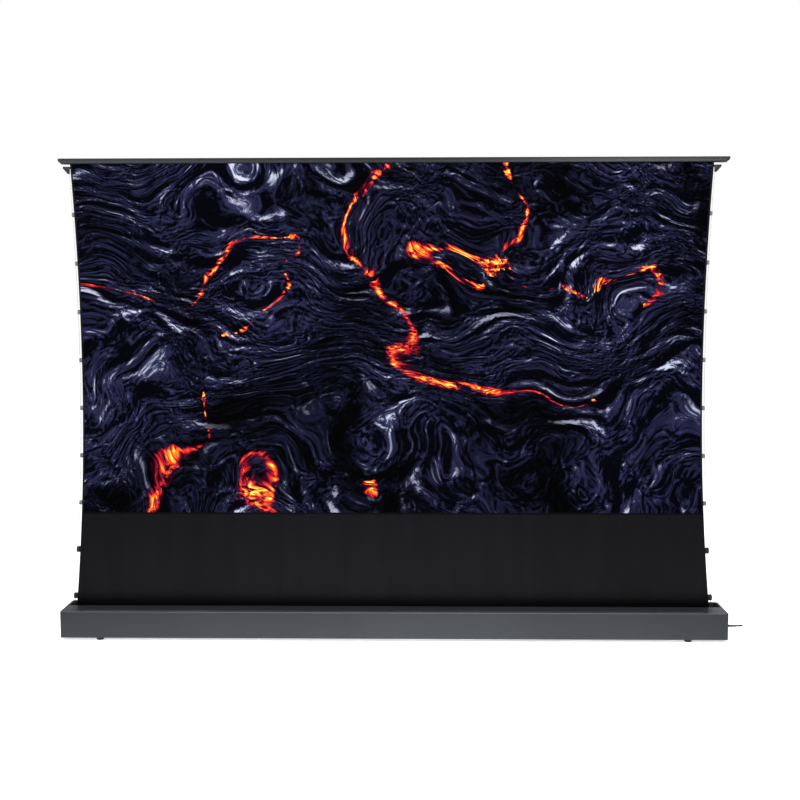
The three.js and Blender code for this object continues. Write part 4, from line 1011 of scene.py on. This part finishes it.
class SCREEN_OT_wound_cloth(bpy.types.Operator):
    """Makes the wound turns of black cloth on the roller, with their edges stepped at both ends."""

    bl_idname = "projection_screen.wound_cloth"
    bl_label = "Wound cloth"

    def execute(self, context):
        sizes, colours = context.scene.cloth_sizes, context.scene.finish_colours
        tube_low, tube_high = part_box("roller_tube")
        step, turns, glue = 0.4 * MM, 3, 0.2 * MM
        outer, inner = (ROLL_HIGH.z - ROLL_LOW.z) / 2, (tube_high.z - tube_low.z) / 2 + glue
        middle = (ROLL_LOW + ROLL_HIGH) / 2
        radii = [inner + (outer - inner) * i / turns for i in range(turns + 1)]
        stair = [(step * (i % 2), radii[i + j]) for i in range(turns) for j in (0, 1)]
        profile = [(ROLL_LOW.x + inset, 0, radius) for inset, radius in stair]
        profile += [(ROLL_HIGH.x - inset, 0, radius) for inset, radius in reversed(stair)]
        bm = spun(profile, (1, 0, 0), steps=48, closed=True)
        bmesh.ops.translate(bm, verts=bm.verts, vec=(0, middle.y, middle.z))

        def flat(place):
            return place.x, math.atan2(place.z - middle.z, place.y - middle.y) * outer

        add_map(bm, "flat", flat)
        finish = woven_cloth("Woven polyester, wound", colours.black_cloth, sizes.weave)
        piece_of(bm, "wound_cloth", finish, "roller", "black_cloth", "fabric_roll")
        return {"FINISHED"}


# Outlines of fastener heads, turned and sized by their radius
SCREW_HEAD = (
    (0, 0), (1, 0), (1, 0.147), (0.9, 0.315), (0.66, 0.42), (0.45, 0.42), (0.4, 0.378),
    (0.4, 0.168), (0, 0.168),
)
RIVET_HEAD = ((0, 0), (1, 0), (0.96, 0.135), (0.72, 0.252), (0, 0.3))


def fasten(name, finish, body, heads, outline=SCREW_HEAD, steps=20):
    """Piece of fastener heads, each given by its foot, its direction and its radius in mm."""
    bm = bmesh.new()
    for place, direction, radius in heads:
        turn = Vector(direction).to_track_quat("Z", "Y").to_matrix().to_4x4()
        put(bm, turned(outline, steps, radius * MM), Matrix.Translation(place) @ turn)
    piece_of(bm, name, finish, body, "steel")


def cap_screws():
    """Screws through the end caps into the base's ports."""
    height, places, radius = 17 * MM, (-64 * MM, 73 * MM), 3.6
    for side, word in SIDES:
        *_, outer = box_and_end(f"end_cap_{word}", side)
        for place in places:
            yield (outer, place, height), (side, 0, 0), radius


def base_screws():
    """Screws through the arms' base into the floor."""
    low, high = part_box("arm_base")
    inset, plate, radius = 12 * MM, 3 * MM, 4.5
    for side, _ in SIDES:
        yield (side * (high.x - inset), (low.y + high.y) / 2, low.z + plate), (0, 0, 1), radius


def batten_screws():
    """Screws along the batten and in the cord brackets' straps."""
    low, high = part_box("top_batten")
    count, rise, radius = 9, 9 * MM, 3
    for i in range(count):
        x = low.x + (high.x - low.x) * (i + 0.5) / count
        yield (x, high.y, low.z + rise), (0, 1, 0), radius
    steps, rise, radius = (8 * MM, 26 * MM), 4 * MM, 2.6
    for side, word in SIDES:
        _, strap, inner = box_and_end(f"cord_bracket_{word}", -side)
        for step in steps:
            yield (inner + side * step, strap.y, low.z + rise), (0, 1, 0), radius


def arm_rivets(arm, side, pivot, rise):
    """Two rivets at each end of an arm's tube, on both faces."""
    low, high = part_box(arm)
    radius, ends = 4, (56 * MM, 80 * MM, LINK - 72 * MM, LINK - 48 * MM)
    for along in ends:
        x = side * (abs(pivot.x) + along * math.sin(LEAN))
        z = pivot.z + rise * along * math.cos(LEAN)
        for face, out in ((low.y, -1), (high.y, 1)):
            yield (x, face, z), (0, out, 0), radius


class SCREEN_OT_fasteners(bpy.types.Operator):
    """Makes the screws of the case, batten and brackets, and the rivets at the arms' ends."""

    bl_idname = "projection_screen.fasteners"
    bl_label = "Screws and rivets"

    def execute(self, context):
        colours = context.scene.finish_colours
        steel = zinc_plated_steel("Zinc-plated screws", colours.steel)
        blackened = zinc_plated_steel("Black oxide screws", shade(colours.steel, 0.12))
        fasten("case_screws", blackened, "case", cap_screws())
        fasten("arm_base_screws", steel, "case", base_screws())
        fasten("batten_screws", steel, "top_bar", batten_screws())
        for side, word in SIDES:
            for part, pivot, rise in (("lower", PIVOT, 1), ("upper", TOP_PIVOT, -1)):
                heads = arm_rivets(f"{part}_arm_{word}", side, pivot, rise)
                name, body = f"{part}_rivets_{word}", f"{part}_{word}"
                fasten(name, steel, body, heads, RIVET_HEAD, steps=16)
        return {"FINISHED"}


class SCREEN_OT_case_finish(bpy.types.Operator):
    """Gives the case, the lid, the roller, the arms and the small parts their finishes."""

    bl_idname = "projection_screen.case_finish"
    bl_label = "Finishes"

    def execute(self, context):
        colours = context.scene.finish_colours
        case_heights = (CASE_LOW.z, CASE_HIGH.z)
        # The case is painted darker towards its top and lighter towards the floor: painted shade
        titanium = anodised_aluminium(
            "Anodised aluminium, titanium grey", colours.titanium, case_heights, ((0, 1), (1, 0.72))
        )
        # The front panel is painted darker towards its top as painted shade, and its top lip is
        # painted bright as a painted highlight
        front_panel_painted_light = anodised_aluminium(
            "Anodised aluminium, front panel", shade(colours.titanium, 1.6), case_heights,
            ((0, 0.62), (0.97, 0.45), (0.985, 1)),
        )
        # A lighter line runs along the lid's rounded front, where it turns to the light
        lid_grey = anodised_aluminium(
            "Anodised aluminium, dark grey", shade(colours.lid_grey, 1.7), (LID_LOW, LID_HIGH),
            ((0, 0.55), (0.38, 1), (0.6, 0.58), (1, 0.52)), roughness=0.36, edge=1.6, rub_and_highlight=1.1,
        )
        flat_bar, *leaning = (
            mill_aluminium(f"Mill aluminium, {word}", colours.aluminium, (0, turn, 0))
            for word, turn in (
                ("along X", QUARTER_TURN), ("arm leaning left", -LEAN), ("arm leaning right", LEAN),
            )
        )
        steel = zinc_plated_steel("Zinc-plated steel", colours.steel)
        plastic = moulded_abs("Moulded ABS, black", colours.plastic)
        jacket = soft_pvc("Moulded PVC, black", colours.jacket)
        rubber = moulded_rubber("Moulded rubber, black", colours.rubber)
        dressed = [
            (titanium, "base_channel roller_cover end_cap_left end_cap_right"),
            (front_panel_painted_light, "front_panel"),
            (lid_grey, "lid"),
            (flat_bar, "roller_tube top_batten"),
            (jacket, "cord_gland"),
            (plastic, "control_box limit_ring drive_wheel idler_plug"),
            (steel, "idler_bracket idler_pin motor_bracket tube_motor arm_base top_clevis"),
        ]
        for (_, word), lower, upper in zip(SIDES, reversed(leaning), leaning):
            dressed += [
                (lower, f"lower_gear_{word} lower_arm_{word} lower_elbow_{word}"),
                (upper, f"upper_gear_{word} upper_arm_{word} upper_elbow_{word}"),
                (steel, f"arm_spring_{word} elbow_pin_{word} lower_pin_{word} top_pin_{word}"),
                (rubber, f"foot_front_{word} foot_rear_{word}"),
            ]
        finishes = {name: finish for finish, names in dressed for name in names.split()}
        for name, node in frame["nodes"].items():
            if not node.hide_render:
                node.data.materials.clear()
                node.data.materials.append(finishes[name])
        return {"FINISHED"}


# Name, place, target, size, spread in degrees and power in watts
LAMPS = (
    ("key", (-2.4, -3.4, 3.0), (0, 0, 0.8), (2.4, 2.4), 180, 60),
    ("fill", (1.45, -3.4, 2.25), (0.6, 0, 1.3), (0.8, 0.6), 180, 34),
    ("low", (0, -4.4, 0.7), (0, 0, 0), (0.8, 0.4), 42, 4.5),
    ("overhead", (0.1, -0.95, 3.0), (0, -0.08, 0.1), (4.4, 0.4), 180, 56),
    ("rear", (0.8, 3.4, 3.2), (0, 0, 0.8), (2.6, 2.6), 180, 70),
)

# Fitted to the photograph: where the camera stands, and its turns about Z, X and Y
CAMERA_PLACE = (0.10195, -4.18188, 1.23953)
CAMERA_TURNS = ((0.01812, "Z"), (-0.08998, "X"), (0.00145, "Y"), (QUARTER_TURN, "X"))


def make_floor(stage):
    """Painted floor: pale and dull, lifted to white where it is seen."""
    material, add, place = new_material(
        "Painted studio floor", Roughness=0.9, Specular_IOR_Level=0.1, Emission_Color=grey(1)
    )
    cloud = add("TexNoise", place, per_metre(700))
    tint = add("ValToRGB", cloud, stops=shades(stage.floor, (0.3, 0.985), (0.7, 1)))
    lift = add("Math", seen_directly(add), stage.floor_white, operation="MULTIPLY")
    surface(material, tint, Emission_Strength=lift)
    bm = plane(1, 1, (stage.floor_size, stage.floor_size))
    piece_of(bm, "floor", material)


def seen_directly(add):
    """1 for rays that show the background: to the camera, in a gloss or through glass."""
    seen, *others = (
        add("LightPath", output=f"Is {ray} Ray")
        for ray in ("Camera", "Glossy", "Transmission")
    )
    for ray in others:
        seen = add("Math", seen, ray, operation="MAXIMUM")
    return seen


def make_sky(scene, stage):
    world = bpy.data.worlds.new("Even studio light")
    world.use_nodes = True
    scene.world = world
    world.node_tree.nodes.clear()
    add = partial(add_node, world.node_tree)
    light, white = (add("Background", grey(1), power) for power in (stage.sky, 1))
    mixed = add("MixShader", seen_directly(add), light, white)
    add("OutputWorld", mixed)


def make_lamps():
    for name, place, target, (width, depth), spread, power in LAMPS:
        lamp = bpy.data.lights.new(name, "AREA")
        lamp.shape = "RECTANGLE"
        lamp.size = width
        lamp.size_y = depth
        lamp.spread = math.radians(spread)
        lamp.energy = power
        stand = linked(name, lamp)
        stand.location = place
        aim = Vector(target) - Vector(place)
        stand.rotation_euler = aim.to_track_quat("-Z", "Y").to_euler()
        stand.visible_camera = False


def make_camera(scene, stage):
    camera = bpy.data.cameras.new("camera")
    camera.sensor_width = 36
    camera.lens = stage.lens
    camera.clip_end = 100
    place = Matrix.Translation(CAMERA_PLACE)
    for angle, axis in CAMERA_TURNS:
        place = place @ Matrix.Rotation(angle, 4, axis)
    scene.camera = linked("camera", camera)
    scene.camera.matrix_world = place


class SCREEN_OT_stage(bpy.types.Operator):
    """Makes the pale floor, the soft light and the camera."""

    bl_idname = "projection_screen.stage"
    bl_label = "Stage"

    def execute(self, context):
        scene, stage = context.scene, context.scene.stage_settings
        make_floor(stage)
        make_sky(scene, stage)
        make_lamps()
        make_camera(scene, stage)
        scene.view_settings.view_transform = "Standard"
        return {"FINISHED"}


class SCREEN_PT_panel(bpy.types.Panel):
    """Shows the screen's settings and the buttons that make its pieces."""

    bl_idname = "SCREEN_PT_panel"
    bl_label = "Projection Screen"
    bl_space_type = "VIEW_3D"
    bl_region_type = "UI"
    bl_category = "Screen"

    def draw(self, context):
        for group in GROUPS:
            box = self.layout.box()
            settings = getattr(context.scene, group)
            for name in settings.__annotations__:
                box.prop(settings, name)
        for operator in OPERATORS:
            self.layout.operator(operator.bl_idname)


GROUPS = {
    "cloth_sizes": ClothSizes,
    "finish_colours": FinishColours,
    "lead_sizes": LeadSizes,
    "stage_settings": StageSettings,
}
OPERATORS = (
    SCREEN_OT_stage,
    SCREEN_OT_power_lead,
    SCREEN_OT_picture_cloth,
    SCREEN_OT_side_tabs,
    SCREEN_OT_lid_ends,
    SCREEN_OT_tension_cords,
    SCREEN_OT_wound_cloth,
    SCREEN_OT_fasteners,
    SCREEN_OT_case_finish,
)
CLASSES = (*GROUPS.values(), *OPERATORS, SCREEN_PT_panel)


def register():
    for cls in CLASSES:
        bpy.utils.register_class(cls)
    for name, group in GROUPS.items():
        setattr(bpy.types.Scene, name, PointerProperty(type=group))


def unregister():
    for name in GROUPS:
        delattr(bpy.types.Scene, name)
    for cls in reversed(CLASSES):
        bpy.utils.unregister_class(cls)


def main():
    register()
    bpy.ops.projection_screen.stage()
    bpy.ops.projection_screen.power_lead()
    bpy.ops.projection_screen.picture_cloth()
    bpy.ops.projection_screen.side_tabs()
    bpy.ops.projection_screen.lid_ends()
    bpy.ops.projection_screen.tension_cords()
    bpy.ops.projection_screen.wound_cloth()
    bpy.ops.projection_screen.fasteners()
    bpy.ops.projection_screen.case_finish()


if __name__ == "__main__":
    main()
